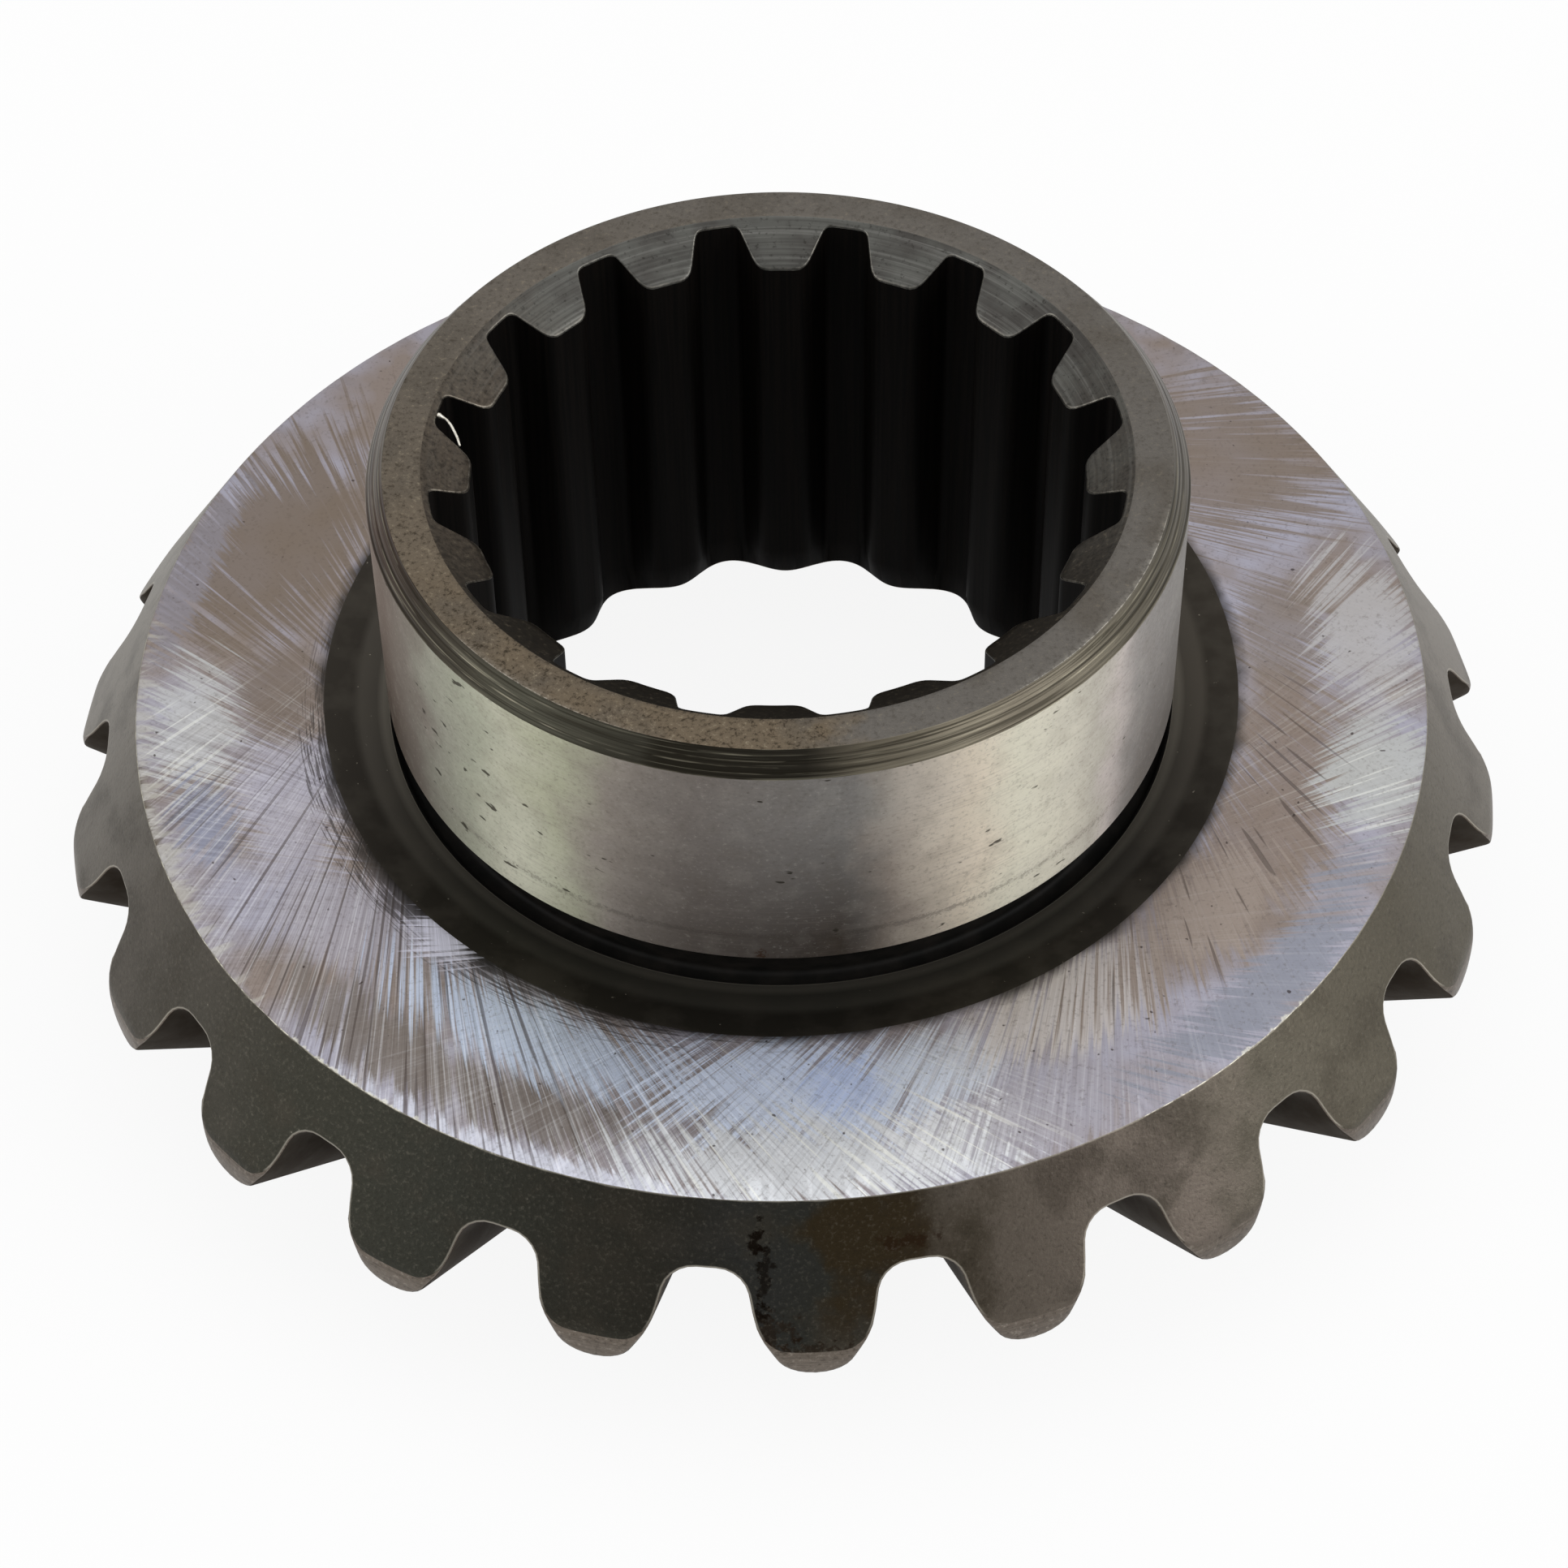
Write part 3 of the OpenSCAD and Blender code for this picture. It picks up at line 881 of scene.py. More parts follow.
    # Cream chips along the rim
    chipped = steel.spread(0.7, (streaks, 0.3, 0.7), least=-0.9)
    for middle, half in (((-40, 49.4), (8, 0.3)), ((42, 49.4), (9, 0.3))):
        steel.lay("#e4e2d6", 0.7, steel.patch(steel.map, middle, half, chipped))
    # Pits, and fine soiled grain
    steel.lay("#3b3230", 0.8, (steel.grain((0.6, 0.6, 0.6), 4.9, 1.0), 0.25, 0.20))
    steel.lay("#5f564f", 0.35, (steel.grain((0.28, 0.28, 0.28), 1.2, 2.0), 0.45, 0.25))
    # Darker towards the inner edge, next to the hub, drawn out along the circumference on the left,
    # where one fresh stroke crosses it
    dashes = steel.spread(0.5, (steel.across(steel.map, (4, 0.15), 6.3), 0.35, 0.65), least=-0.5)
    steel.lay("#413c3a", 0.75, steel.patch(steel.map, (-52, 34.6), (40, 2.6), dashes, 0.4))
    smudge = steel.spread(0.5, (steel.grain((5, 5, 5), 9.4), 0.3, 0.7), least=-0.5)
    inside = add(steel.tree, "Math", {0: steel.radius, 1: smudge}, operation="ADD")
    steel.lay(colours.grime, 0.85, (inside, 35.9, 34.9))
    steel.lay("#dcdcec", 0.9, steel.patch(steel.map, (-46, 35.6), (5, 2.4), right_ragged))
    rough = steel.patch(steel.map, (2, 37), (34, 7), soft=1.0)
    relief = add(steel.tree, "Math", {
        0: steel.spread(left, left_weight), 1: steel.spread(right, right_weight),
    }, operation="ADD")
    return steel.ended(steel.spread(0.62, rough, least=0.42), relief, 0.035)


def ground_journal(colours):
    """Hardened steel, ground round and round, with dark pits on the left that lie along the
    turning. Its pale upright bands are painted highlights and its darker front is a painted
    reflection; they stay where they are on the gear."""
    steel = Finish("ground_journal_steel")
    # Grinding lines drawn 0.15 mm apart. Real ones, a few hundredths, would not show.
    lines = steel.grain((9, 9, 0.15), 1.3, 2.0)
    cloud = steel.grain((7, 7, 6), 4.4, 3.0)
    mottle = steel.grain((2.2, 2.2, 2.2), 5.7, 3.0)
    speck = steel.grain((0.35, 0.35, 0.28), 8.8, 3.0, 0.7)
    # Colour round the gear: pale bands of painted highlight, and a painted reflection darker in front
    steel.colour = steel.by_angle((
        (-180, "#aaa59b"), (-100, "#8a7d73"), (-76, "#7b6d64"), (-64, "#8b837a"), (-58, "#a09f92"),
        (-50, "#a8aa99"), (-42, "#bbbba9"), (-34, "#b4b59e"), (-26, "#a19990"), (-14, "#8e8781"),
        (7, "#93908c"), (12.5, "#b3a89d"), (19, "#dad0c1"), (24, "#dcd2c1"), (32, "#cfccbc"),
        (46, "#b2aea4"), (51, "#bfb7b3"), (56, "#9f9b98"), (80, "#918e8b"), (110, "#9a968f"),
        (180, "#aaa59b"),
    ), (cloud, 3))
    # The lower part is painted darker, a painted reflection of the recess below, and two pale
    # patches are painted highlights like the bands
    low = steel.by_angle((
        (-180, 0.08), (-80, 1), (-62, 0.279), (-47, 0), (-28, 0), (-14, 0.527), (6, 1),
        (14, 0.279), (24, 0.014), (48, 0.014), (60, 0.479), (90, 0.527),
    ))
    steel.lay("#463b31", 0.9, (steel.height, 39, 26), low)
    steel.lay("#dcdccb", 0.45, steel.patch(steel.wall_map, (-40, 27), (11, 9), soft=1.0))
    steel.lay("#ddd6ca", 0.6, steel.patch(steel.wall_map, (15.5, 41), (8, 9), soft=1.0))
    steel.lay("#7d7468", 0.16, (mottle, 0.5, 0.34))
    steel.lay("#d9d3c6", 0.08, (mottle, 0.52, 0.68))
    steel.lay("#6b655c", 0.35, (speck, 0.47, 0.30))
    steel.lay("#dcd8cc", 0.25, (speck, 0.58, 0.75))
    steel.lay("#8f8680", 0.2, (lines, 0.45, 0.33))
    # A ring that a seal or a shim has left, near the foot
    broken = steel.spread(0.7, (speck, 0.35, 0.65), least=-0.9)
    steel.lay("#57514a", 0.4, steel.patch(steel.wall_map, (0, 26.6), (66, 0.35), broken))
    # Pits, deeper where there are many
    pits = steel.grain((1.9, 1.9, 0.75), 6.1, 2.0)
    many = steel.patch(steel.wall_map, (-49, 32), (24, 14), soft=1.0)
    deep = add(steel.tree, "Math", {0: pits, 1: steel.spread(0.085, many)}, operation="SUBTRACT")
    steel.lay("#39342b", 0.85, (deep, 0.285, 0.25))
    ragged = steel.spread(0.5, (speck, 0.35, 0.65), least=-1.1)
    steel.lay(colours.rust, 0.7, steel.patch(steel.wall_map, (-5, 24.5), (0.9, 0.8), ragged))
    return steel.ended(0.6, lines, 0.002, {
        "Anisotropic": 0.85, "Anisotropic Rotation": 0.25,
        "Tangent": add(steel.tree, "Tangent", direction_type="RADIAL", axis="Z"),
    })


def faced_hub_end(colours):
    """Steel faced on the lathe, then stained and pitted in store: sandy brown on the left and
    greyer on the right, with grains that glint."""
    steel = Finish("faced_hub_end_steel", "#6b6762")
    # Corroded grains of 0.4 mm in stains of 6 mm
    sand = steel.grain((0.4, 0.4, 0.4), 5.5, 4.0, 0.75)
    cloud = steel.grain((6, 6, 6), 8.1)
    brown = steel.by_angle((
        (-180, 0.162), (-120, 0.352), (-60, 1), (3, 1), (7, 0.014), (120, 0.051), (180, 0.162),
    ), (cloud, 6))
    steel.lay(colours.faced, brown)
    steel.lay("#5c564e", 0.6, (cloud, 0.45, 0.62))
    gritty = steel.spread(0.95, brown, least=0.3)
    steel.lay("#3a3329", gritty, (sand, 0.48, 0.34))
    steel.lay("#9c917c", gritty, (sand, 0.58, 0.74))
    # Bare metal shows along the outer edge
    bare = steel.by_angle((
        (-180, 0.03), (-56, 0.03), (-46, 0.745), (-24, 0.352), (-18, 0.005), (26, 0.03), (36, 1),
        (72, 1), (84, 0.051),
    ), (cloud, 9))
    broken = steel.spread(0.75, (sand, 0.42, 0.58), least=0.15)
    steel.lay("#cdc8bd", broken, (steel.worn, 0.4, 0.8), (steel.radius, 28, 28.4), bare)
    return steel.ended(0.5, sand, 0.06)


def turned_chamfer(sizes):
    """Steel turned with a round-nosed tool: uneven ridges round the chamfer, with grime between
    them, darkest in front."""
    steel = Finish("turned_chamfer_steel")
    # Tool marks 0.12 mm apart, a lathe's fine feed
    lines = steel.grain((14, 14, 0.12), 3.3, 3.0)
    # Colour round the gear, darkest in front
    steel.colour = steel.by_angle((
        (-180, "#75706a"), (-100, "#6b655f"), (-80, "#4a3b33"), (-62, "#3e3831"), (-40, "#45443b"),
        (-21, "#403e36"), (-19, "#2c2922"), (2, "#322f29"), (10, "#726b5d"), (22, "#827b6c"),
        (32, "#635d52"), (46, "#605b50"), (75, "#615c52"), (100, "#6b655f"), (180, "#75706a"),
    ))
    steel.lay("#29261f", 0.75, (lines, 0.52, 0.38))
    steel.lay("#8e8a79", 0.6, (lines, 0.60, 0.72))
    # The ridges' crests, one ridge apart down the chamfer, are rubbed bright here and there
    turns = math.tau * sizes.chamfer_lines / (sizes.chamfer_h / MM)
    down = add(steel.tree, "Math", {0: HUB_END_Z / MM, 1: steel.height}, operation="SUBTRACT")
    phase = add(steel.tree, "Math", {0: down, 1: turns}, operation="MULTIPLY")
    crest = add(steel.tree, "Math", {0: phase}, operation="COSINE")
    patchy = steel.grain((5, 5, 0.5), 7.4)
    steel.lay("#9c9684", 0.55, (crest, 0.6, 1.0), (patchy, 0.5, 0.66))
    return steel.ended(0.42, lines, 0.02)


def turned_countersink():
    """Steel turned with fine lines round the countersink and on the spline teeth's ends. In
    front it is brown with grit."""
    steel = Finish("turned_countersink_steel", "#63635f")
    # A feed of 0.16 mm a turn, and grit of 0.4 mm
    lines = steel.rings(0.16, 1.1)
    grit = steel.grain((0.4, 0.4, 0.4), 6.7, 3.0, 0.7)
    cloud = steel.grain((4, 4, 4), 2.6, 3.0)
    steel.lay("#504e4b", 1.0, (cloud, 0.4, 0.6))
    steel.lay("#3c3a38", 0.45, (lines, 0.5, 0.34))
    steel.lay("#8d8c88", 0.35, (lines, 0.55, 0.7))
    steel.lay("#2f2d29", 0.6, (grit, 0.42, 0.30))
    dirty = steel.by_angle((
        (-180, 0), (-140, 0.051), (-112, 0.745), (-50, 1), (50, 1), (80, 0.631), (120, 0.03),
    ))
    stain = steel.by_angle((
        (-180, "#5d554b"), (-100, "#5d5348"), (-72, "#4f463b"), (-52, "#332d24"), (52, "#332d24"),
        (75, "#48423a"), (180, "#5d554b"),
    ))
    stain = steel.tint(stain, "#221d17", 0.6, (grit, 0.52, 0.38))
    stain = steel.tint(stain, "#857a68", 0.5, (grit, 0.58, 0.72))
    steel.lay(stain, dirty)
    gritty = steel.spread(0.8, (grit, 0.4, 0.6), least=0.2)
    cloudy = steel.spread(1.0, (cloud, 0.4, 0.6), least=0.4)
    steel.lay("#d8d2c4", gritty, cloudy, (steel.worn, 0.5, 0.8))
    return steel.ended(0.45, lines, 0.008)


def broached_bore():
    """Steel cut by a broach and left oily: almost black, partly as painted shade of the deep bore,
    with faint lines along the bore.
    """
    steel = Finish("broached_bore_steel", "#100d0b")
    # The broach's scratches drawn 0.3 mm wide. Real ones, a tenth of that, would not show.
    lines = steel.grain((0.3, 0.3, 12), 2.9)
    steel.lay("#080706", 1.0, (lines, 0.4, 0.6))
    return steel.ended(0.6, lines, 0.01, {"Metallic": 0.0, "Specular IOR Level": 0.03})


def grimy_shaded_undercut():
    """Undercut full of old oil: black, partly as painted shade of the groove."""
    steel = Finish("grimy_undercut_steel", "#100f0d")
    cloud = steel.grain((2, 2, 1), 5.9)
    steel.lay("#1e1b18", 1.0, (cloud, 0.4, 0.65))
    return steel.ended(0.6, cloud, 0.03, {"Metallic": 0.0, "Specular IOR Level": 0.2})


def dark_recess():
    """Turned recess: dark grey, darker towards its outer edge, with a few pale grains, and a thin
    edge that is rubbed bright."""
    steel = Finish("grimy_recess_steel")
    cloud = steel.grain((3.5, 3.5, 1), 6.6)
    fine = steel.grain((0.4, 0.4, 0.4), 3.7, 2.0)
    steel.colour = steel.by_angle((
        (-180, "#4a4640"), (-80, "#4a4640"), (-40, "#3c3a34"), (-5, "#44423c"), (20, "#42403a"),
        (50, "#3f3c37"), (85, "#4d4841"), (180, "#4a4640"),
    ))
    # Darker towards its outer edge
    steel.lay("#1f1a15", 0.5, (steel.radius, 32.3, 32.9))
    steel.lay("#4c4841", 0.5, (cloud, 0.45, 0.65))
    steel.lay("#8d877b", 0.8, (fine, 0.73, 0.78))
    steel.lay("#b8b1a2", 0.8, (steel.worn, 0.4, 0.9), (steel.radius, 31, 30.5))
    return steel.ended(0.55, cloud, 0.02)


def dull_tooth_end():
    """Turned steel gone dull in store: olive-grey, darkest in front, partly from a film of oil and
    partly as a painted reflection, with light specks and brown stains."""
    steel = Finish("dull_tooth_end_steel")
    # Stains of 5 mm, blots of 0.8 mm and grains of 0.3 mm
    cloud = steel.grain((5, 5, 5), 7.2, 4.0)
    fine = steel.grain((0.3, 0.3, 0.3), 1.9, 4.0, 0.65)
    blots = steel.grain((0.8, 0.8, 0.8), 3.6, 4.0, 0.65)
    # Colour round the gear, darkest in front: partly oil film, partly painted reflection
    steel.colour = steel.by_angle((
        (-180, "#6e685d"), (-96, "#79746c"), (-70, "#544f48"), (-46, "#383730"), (-30, "#373731"),
        (-12, "#33312b"), (-5, "#343432"), (1, "#353530"), (9, "#463f35"), (13, "#625a51"),
        (30, "#6c635b"), (40, "#5a554b"), (60, "#565146"), (75, "#68635a"), (90, "#79736b"),
        (180, "#6e685d"),
    ), (cloud, 4))
    steel.lay("#423d35", 0.45, (cloud, 0.5, 0.66))
    ragged = steel.spread(0.7, (blots, 0.35, 0.65), least=-0.9)
    soft_ragged = steel.spread(0.5, (cloud, 0.35, 0.65), least=-0.5)
    for middle, half, shade, share, edge in (
        ((4.6, 50.9), (4.9, 3.0), "#2c2013", 0.65, soft_ragged),
        ((3.9, 50.8), (4.9, 3.0), "#3a3122", 0.85, soft_ragged),
        ((7.4, 51.3), (2.4, 0.4), "#2a190d", 0.6, ragged),
        ((-3.4, 54.6), (2.4, 1.0), "#2b2118", 0.7, ragged),
        ((-0.6, 55.4), (4.0, 0.5), "#22170e", 0.7, ragged),
        ((-4.3, 50.9), (0.6, 0.9), "#120b06", 0.9, ragged),
        ((-3.7, 52.3), (0.7, 1.5), "#120b06", 0.75, ragged),
        ((-4.4, 53.8), (1.2, 0.5), "#120b06", 0.8, ragged),
        ((20, 50.4), (3.5, 1.8), "#423b34", 0.5, soft_ragged),
        ((29, 50.8), (4, 2), "#453f38", 0.5, soft_ragged),
    ):
        steel.lay(shade, share, steel.patch(steel.map, middle, half, edge))
    steel.lay("#24221d", 0.35, (fine, 0.45, 0.30))
    steel.lay("#8d877a", 0.15, (fine, 0.54, 0.70))
    steel.lay("#b5afa3", 0.5, (fine, 0.72, 0.78))
    steel.lay("#b5afa2", 0.55, (steel.worn, 0.6, 1.0))
    # The thrust face's rim is chipped to a thin pale line, with a painted glint brightest on the left
    glint = steel.by_angle((
        (-150, 0.051), (-100, 0.216), (-60, 1), (-26, 0.745), (-14, 0.03), (30, 0.03), (36, 1),
        (50, 1), (56, 0.051), (90, 0.216),
    ), (blots, 9))
    rim = steel.spread(1.0, (steel.worn, 0.75, 0.95), (steel.radius, 49.7, 49.5))
    steel.lay("#e6e2d0", rim, (blots, 0.44, 0.56), glint)
    return steel.ended(0.46, fine, 0.04)


def turned_land():
    """The teeth's turned corners: a little lighter and browner than their ends."""
    steel = Finish("turned_land_steel", "#6d645b")
    # Tool marks 0.15 mm apart, as a lathe feeds, and grit of 0.4 mm
    lines = steel.grain((5, 5, 0.15), 4.7)
    grit = steel.grain((0.4, 0.4, 0.4), 5.1, 3.0, 0.7)
    steel.lay("#544d46", 0.5, (lines, 0.55, 0.4))
    steel.lay("#39332c", 0.6, (grit, 0.45, 0.32))
    steel.lay("#9c9489", 0.5, (grit, 0.56, 0.70))
    return steel.ended(0.45, grit, 0.02)


def forged_flank(colours):
    """Tooth flanks as forged: brown-black scale, rubbed lighter along the edges."""
    steel = Finish("forged_flank_steel", colours.forged)
    # Scale in patches of 3 mm
    cloud = steel.grain((3, 3, 3), 3.8, 4.0)
    steel.lay("#403a33", 1.0, (cloud, 0.42, 0.65))
    steel.lay("#8a8378", 0.3, (steel.worn, 0.6, 1.0))
    return steel.ended(0.7, cloud, 0.04, {"Metallic": 0.0, "Specular IOR Level": 0.05})


def forged_toe(colours):
    """Inner ends of the teeth, as forged: scale with metal showing through."""
    steel = Finish("forged_toe_steel", colours.forged)
    cloud = steel.grain((2.5, 2.5, 2.5), 9.9, 4.0)
    steel.lay("#575047", 1.0, (cloud, 0.42, 0.65))
    return steel.ended(0.6, cloud, 0.04, {"Metallic": 0.3, "Specular IOR Level": 0.3})


def turned_underside(colours):
    """Flat underside, turned and then oily: dark grey with lines round the bore."""
    steel = Finish("turned_underside_steel", colours.turned)
    # A feed of 0.25 mm a turn
    lines = steel.rings(0.25, 4.6)
    steel.lay("#57534b", 1.0, (lines, 0.58, 0.35))
    return steel.ended(0.42, lines, 0.02)


def sheared_burr():
    """A burr that the broach sheared off the steel: bright and a little creamy, matt where it
    tore."""
    steel = Finish("sheared_burr_steel", "#f4f0e4")
    torn = steel.grain((0.25, 0.25, 0.25), 3.3, 2.0)
    steel.lay("#c9c2b2", 1.0, (torn, 0.5, 0.7))
    return steel.ended(0.4, torn, 0.01)


# The burr's middle line: radius and depth below the hub's end in millimetres, and angle from -Y
# towards +X. It starts as a blob on the edge of a spline space and hangs over it.
BURR_LINE = (
    (25.26, 0.45, -103.1), (24.68, 0.70, -102.9), (24.27, 0.95, -102.1), (23.96, 1.20, -101.2),
    (23.69, 1.50, -100.4), (23.46, 1.75, -99.2),
)
BURR_SIDES = 8


def burr_points(s):
    """Middle points of the burr, each with its radius there."""
    marks = [
        around(r * MM, math.radians(angle), HUB_END_Z - depth * MM) for r, depth, angle in BURR_LINE
    ]
    blob = 1.8 * s.burr_r
    way = (marks[0] - marks[1]).normalized()
    points = [(marks[0] + way * blob * math.cos(t), blob * math.sin(t)) for t in (0.5, 1.0, 1.6, 2.2)]
    for i, (before, here, after) in enumerate(zip(marks, marks[1:], marks[2:] + marks[-1:]), 1):
        thick = s.burr_r * (0.7 + 0.3 * math.sin(math.pi * i / len(marks)))
        near = before.lerp(here, 0.75)
        points.append((near, thick))
        points.append((bend(near, here, here.lerp(after, 0.25), 0.5), thick))
    return points


def burr_mesh(s, finish):
    """The burr as a tube along its middle points, closed at both ends."""
    points = burr_points(s)
    shell = bmesh.new()
    rings = []
    for i, (middle, radius) in enumerate(points):
        before, after = points[max(i - 1, 0)][0], points[min(i + 1, len(points) - 1)][0]
        run = (after - before).normalized()
        side = run.cross(Vector((0, 0, 1))).normalized()
        up = side.cross(run)
        rings.append([
            shell.verts.new(middle + (side * math.cos(t) + up * math.sin(t)) * radius)
            for t in (math.tau * k / BURR_SIDES for k in range(BURR_SIDES))
        ])
    for a, b in zip(rings, rings[1:]):
        for k in range(BURR_SIDES):
            n = (k + 1) % BURR_SIDES
            shell.faces.new((a[k], a[n], b[n], b[k]))
    for end in (rings[0], rings[-1]):
        shell.faces.new(end)
    for face in shell.faces:
        face.smooth = True
    bmesh.ops.recalc_face_normals(shell, faces=shell.faces)
    mesh = bpy.data.meshes.new("burr")
    shell.to_mesh(mesh)
    shell.free()
    mesh.materials.append(finish)
    return mesh


class SIDEGEAR_OT_gear(bpy.types.Operator):
    """Build the side gear over its solid"""

    bl_idname = "side_gear.gear"
    bl_label = "Side gear"

    def execute(self, context):
        sizes, colours = context.scene.side_gear_sizes, context.scene.side_gear_colours
        finishes = {
            "bore": broached_bore(),
            "mouth": turned_countersink(),
            "hub_end": faced_hub_end(colours),
            "turned": turned_chamfer(sizes),
            "journal": ground_journal(colours),
            "undercut": grimy_shaded_undercut(),
            "band": dark_recess(),
            "thrust": ground_face(colours),
            "heel": dull_tooth_end(),
            "land": turned_land(),
            "flank": forged_flank(colours),
            "toe": forged_toe(colours),
            "underside": turned_underside(colours),
        }
        gear = skin("side_gear_dressed", gear_rows(sizes), finishes)
        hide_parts(NODE)
        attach(gear, "root")
        return {"FINISHED"}


class SIDEGEAR_OT_burr(bpy.types.Operator):
    """Hang the burr on the edge of its spline space"""

    bl_idname = "side_gear.burr"
    bl_label = "Burr"

    def execute(self, context):
        burr = bpy.data.objects.new("burr", burr_mesh(context.scene.side_gear_sizes, sheared_burr()))
        context.scene.collection.objects.link(burr)
        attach(burr, "root")
        return {"FINISHED"}


class StudioSizes(bpy.types.PropertyGroup):
    distance: size("Camera distance", "From the camera to the middle of the thrust face", 321.74)
    elevation: degrees("Elevation", "Camera's height over the horizon", 47.4011)
    azimuth: degrees("Azimuth", "Camera's turn round the gear", -1.8)
    roll: degrees("Roll", "Camera's roll", 0.8497)
    lens: FloatProperty(
        name="Lens", description="Focal length in millimetres", default=96.24, unit="CAMERA"
    )
    aim_x: FloatProperty(
        name="Aim X", description="Pixel of the thrust face's middle, from the left",
        default=962.05, subtype="PIXEL",
    )
    aim_y: FloatProperty(
        name="Aim Y", description="Pixel of the thrust face's middle, from the top",
        default=831.49, subtype="PIXEL",
    )


FRAME_PIXELS = 1932
SENSOR = 36


def camera_matrix(s):
    """Where the camera stands and how it is turned, so that the middle of the thrust face falls
    on its pixel."""
    focal = s.lens / SENSOR * FRAME_PIXELS
    forward = Vector((0, math.cos(s.elevation), -math.sin(s.elevation)))
    right = Vector((1, 0, 0))
    down = forward.cross(right)
    place = -forward * s.distance
    level = Matrix((
        math.cos(s.roll) * right + math.sin(s.roll) * down,
        -math.sin(s.roll) * right + math.cos(s.roll) * down,
        forward,
    ))
    aim = Vector(((s.aim_x - FRAME_PIXELS / 2) / focal, (s.aim_y - FRAME_PIXELS / 2) / focal, 1))
    turn = Vector((0, 0, 1)).rotation_difference(aim).to_matrix()
    axes = turn @ level
    matrix = Matrix((axes[0], -axes[1], -axes[2])).transposed().to_4x4()
    matrix.translation = place
    return Matrix.Translation((0, 0, THRUST_Z)) @ Matrix.Rotation(s.azimuth, 4, "Z") @ matrix


FLOOR_W = 6.0
# Soft boxes: name, angle from -Y towards +X and height over the floor in degrees, distance and
# width in metres, and radiance
LAMPS = (
    ("top_light", 180, 75, 1.0, 0.9, 0.6),
    ("left_light", -70, 22, 0.9, 0.6, 1.6),
    ("right_light", 68, 24, 0.9, 0.6, 2.8),
)


def white_paper():
    """Matt white paper. Part of it shows plain white to the camera and in the metal, and the
    rest takes the shadow."""
    material = bpy.data.materials.new("white_paper")
    material.use_nodes = True
    tree = material.node_tree
    tree.nodes.clear()
    paper = add(tree, "BsdfDiffuse", {"Color": "#f2f2f2"})
    white = add(tree, "Emission", {"Color": "#ffffff", "Strength": 1.0})
    path = add(tree, "LightPath").outputs
    seen = add(tree, "Math", {0: path["Is Camera Ray"], 1: path["Is Glossy Ray"]}, operation="MAXIMUM")
    seen = add(tree, "Math", {0: seen, 1: path["Is Transmission Ray"]}, operation="MAXIMUM")
    share = add(tree, "Math", {0: seen, 1: 0.9}, operation="MULTIPLY")
    mix = add(tree, "MixShader", {0: share, 1: paper, 2: white})
    add(tree, "OutputMaterial", {"Surface": mix})
    return material


def studio_world():
    """Soft light from all round, weaker from the front and low down."""
    world = bpy.data.worlds.new("studio")
    world.use_nodes = True
    tree = world.node_tree
    tree.nodes.clear()
    way = add(tree, "TexCoord").outputs["Generated"]
    high = add(tree, "VectorMath", {0: way, 1: (0, 0.6, 0.8)}, operation="DOT_PRODUCT")
    share = add(tree, "MapRange", {"Value": high.outputs["Value"], "From Min": -0.6, "From Max": 0.6})
    seen = add(tree, "LightPath").outputs["Is Camera Ray"]
    shade = "#8c8c8c"
    for cover, over in ((share, "#e0e0e0"), (seen, "#ffffff")):
        mix = add(tree, "Mix", {"Factor": cover, 6: shade, 7: over}, data_type="RGBA")
        shade = mix.outputs[2]
    add(tree, "OutputWorld", {"Surface": add(tree, "Background", {"Color": shade})})
    return world


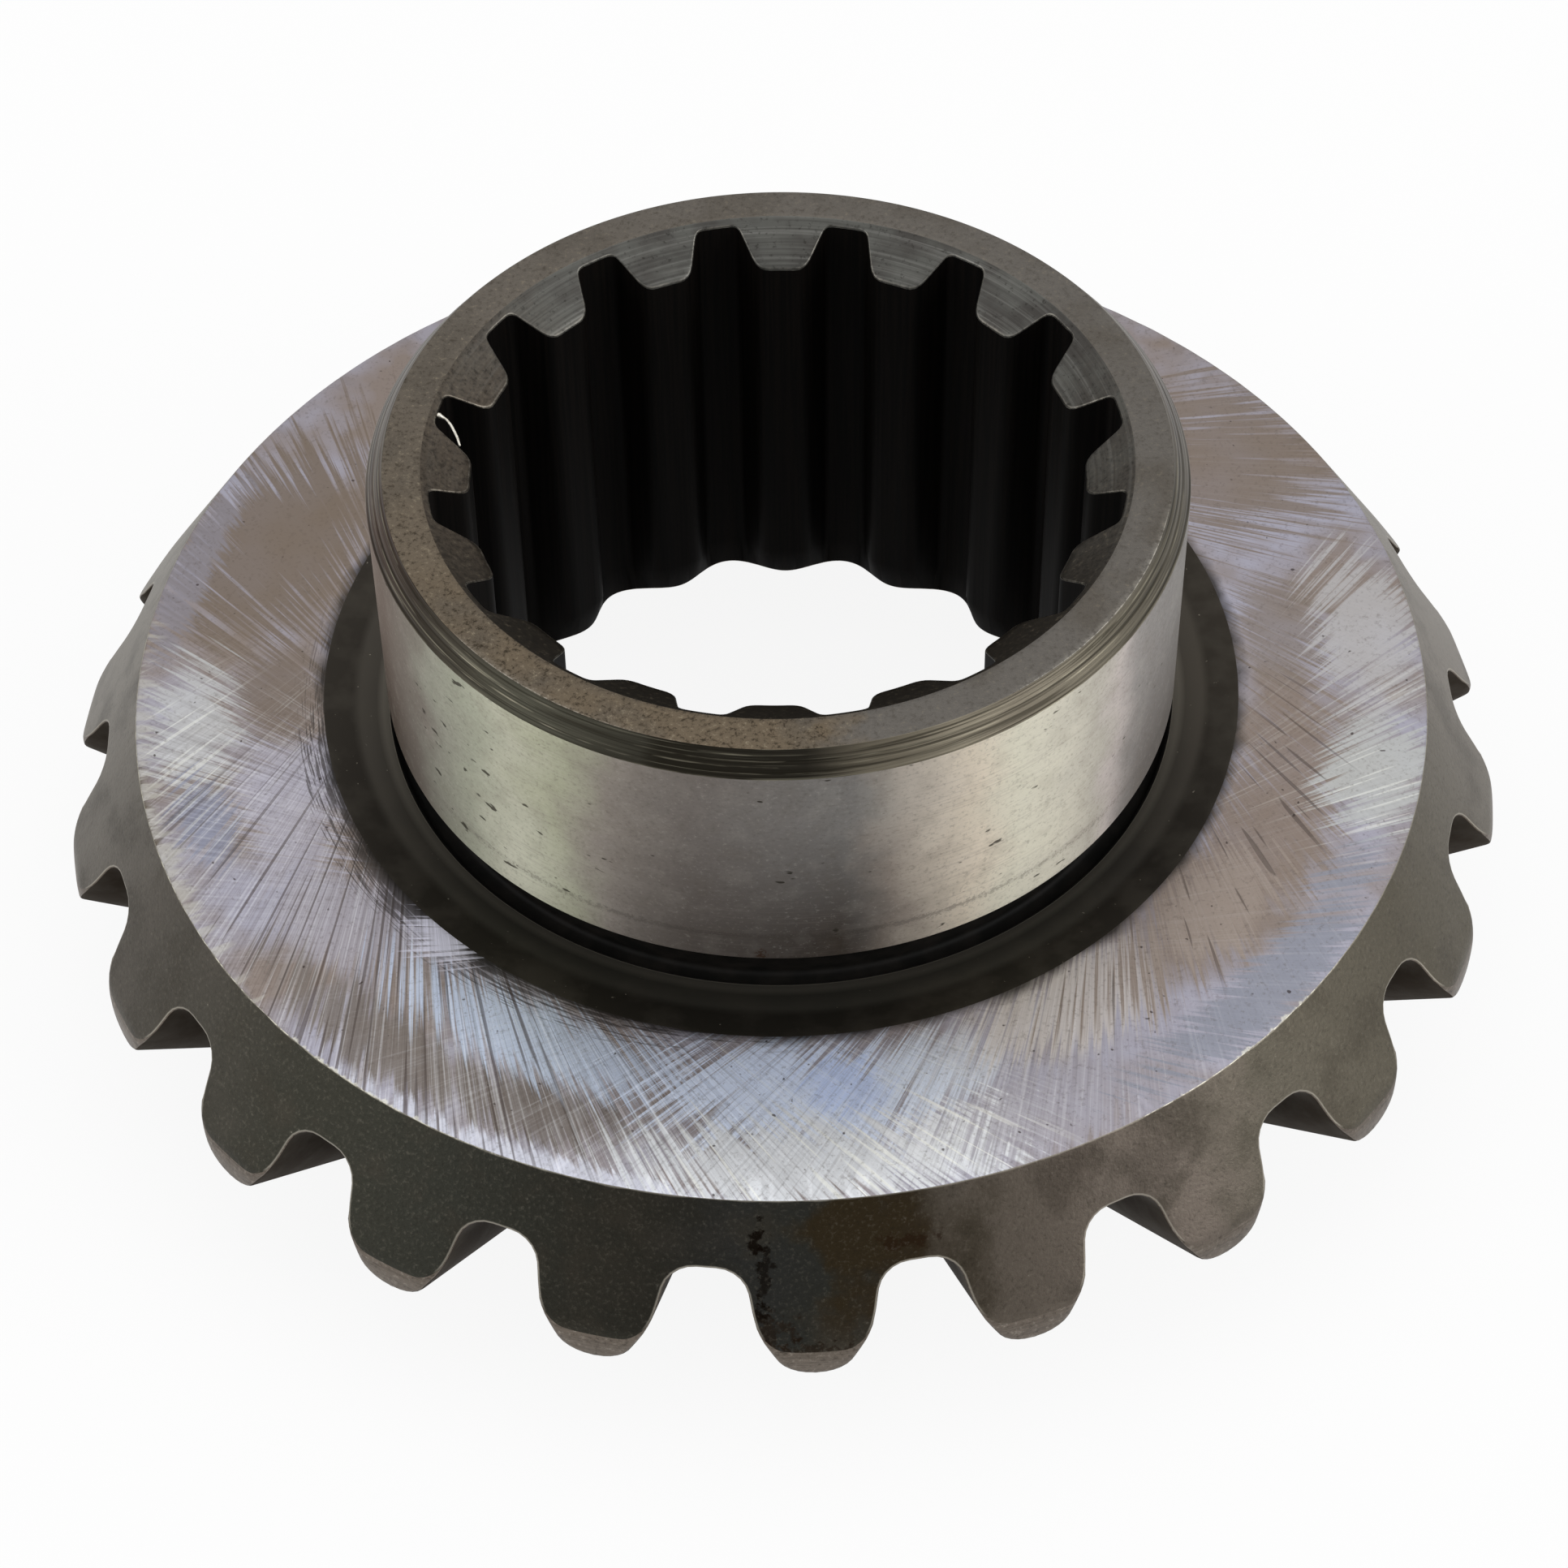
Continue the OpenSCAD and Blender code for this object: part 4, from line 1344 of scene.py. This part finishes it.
class SIDEGEAR_OT_stage(bpy.types.Operator):
    """Lay the floor, light it and set up the camera"""

    bl_idname = "side_gear.stage"
    bl_label = "Studio"

    def execute(self, context):
        scene = context.scene
        studio = scene.side_gear_studio
        scene.view_settings.view_transform = "Standard"

        floor_mesh = bpy.data.meshes.new("floor")
        half = FLOOR_W / 2
        floor_mesh.from_pydata(
            [(-half, -half, 0), (half, -half, 0), (half, half, 0), (-half, half, 0)], [], [(0, 1, 2, 3)]
        )
        floor_mesh.materials.append(white_paper())
        floor = bpy.data.objects.new("floor", floor_mesh)
        scene.collection.objects.link(floor)

        scene.world = studio_world()
        for name, azimuth, elevation, distance, width, radiance in LAMPS:
            lamp = bpy.data.lights.new(name, "AREA")
            lamp.size = width
            # The watts at which a square lamp has that radiance
            lamp.energy = radiance * math.pi * width ** 2
            holder = bpy.data.objects.new(name, lamp)
            flat = distance * math.cos(math.radians(elevation))
            high = distance * math.sin(math.radians(elevation))
            place = around(flat, math.radians(azimuth), high)
            holder.location = place
            holder.rotation_euler = place.to_track_quat("Z", "Y").to_euler()
            scene.collection.objects.link(holder)

        lens = bpy.data.cameras.new("camera")
        lens.lens, lens.sensor_width = studio.lens, SENSOR
        lens.clip_start, lens.clip_end = 0.01, 20
        camera = bpy.data.objects.new("camera", lens)
        camera.matrix_world = camera_matrix(studio)
        scene.collection.objects.link(camera)
        scene.camera = camera
        return {"FINISHED"}


class SIDEGEAR_PT_panel(bpy.types.Panel):
    bl_label = "Side Gear"
    bl_space_type = "VIEW_3D"
    bl_region_type = "UI"
    bl_category = "Side Gear"

    def draw(self, context):
        for operator in (SIDEGEAR_OT_gear, SIDEGEAR_OT_burr, SIDEGEAR_OT_stage):
            self.layout.operator(operator.bl_idname)


CLASSES = (
    GearSizes, GearColours, StudioSizes, SIDEGEAR_OT_gear, SIDEGEAR_OT_burr, SIDEGEAR_OT_stage,
    SIDEGEAR_PT_panel,
)


def register():
    for cls in CLASSES:
        bpy.utils.register_class(cls)
    bpy.types.Scene.side_gear_sizes = PointerProperty(type=GearSizes)
    bpy.types.Scene.side_gear_colours = PointerProperty(type=GearColours)
    bpy.types.Scene.side_gear_studio = PointerProperty(type=StudioSizes)


def unregister():
    del bpy.types.Scene.side_gear_studio
    del bpy.types.Scene.side_gear_colours
    del bpy.types.Scene.side_gear_sizes
    for cls in reversed(CLASSES):
        bpy.utils.unregister_class(cls)


def main():
    register()
    bpy.ops.side_gear.stage()
    bpy.ops.side_gear.gear()
    bpy.ops.side_gear.burr()


if __name__ == "__main__":
    main()
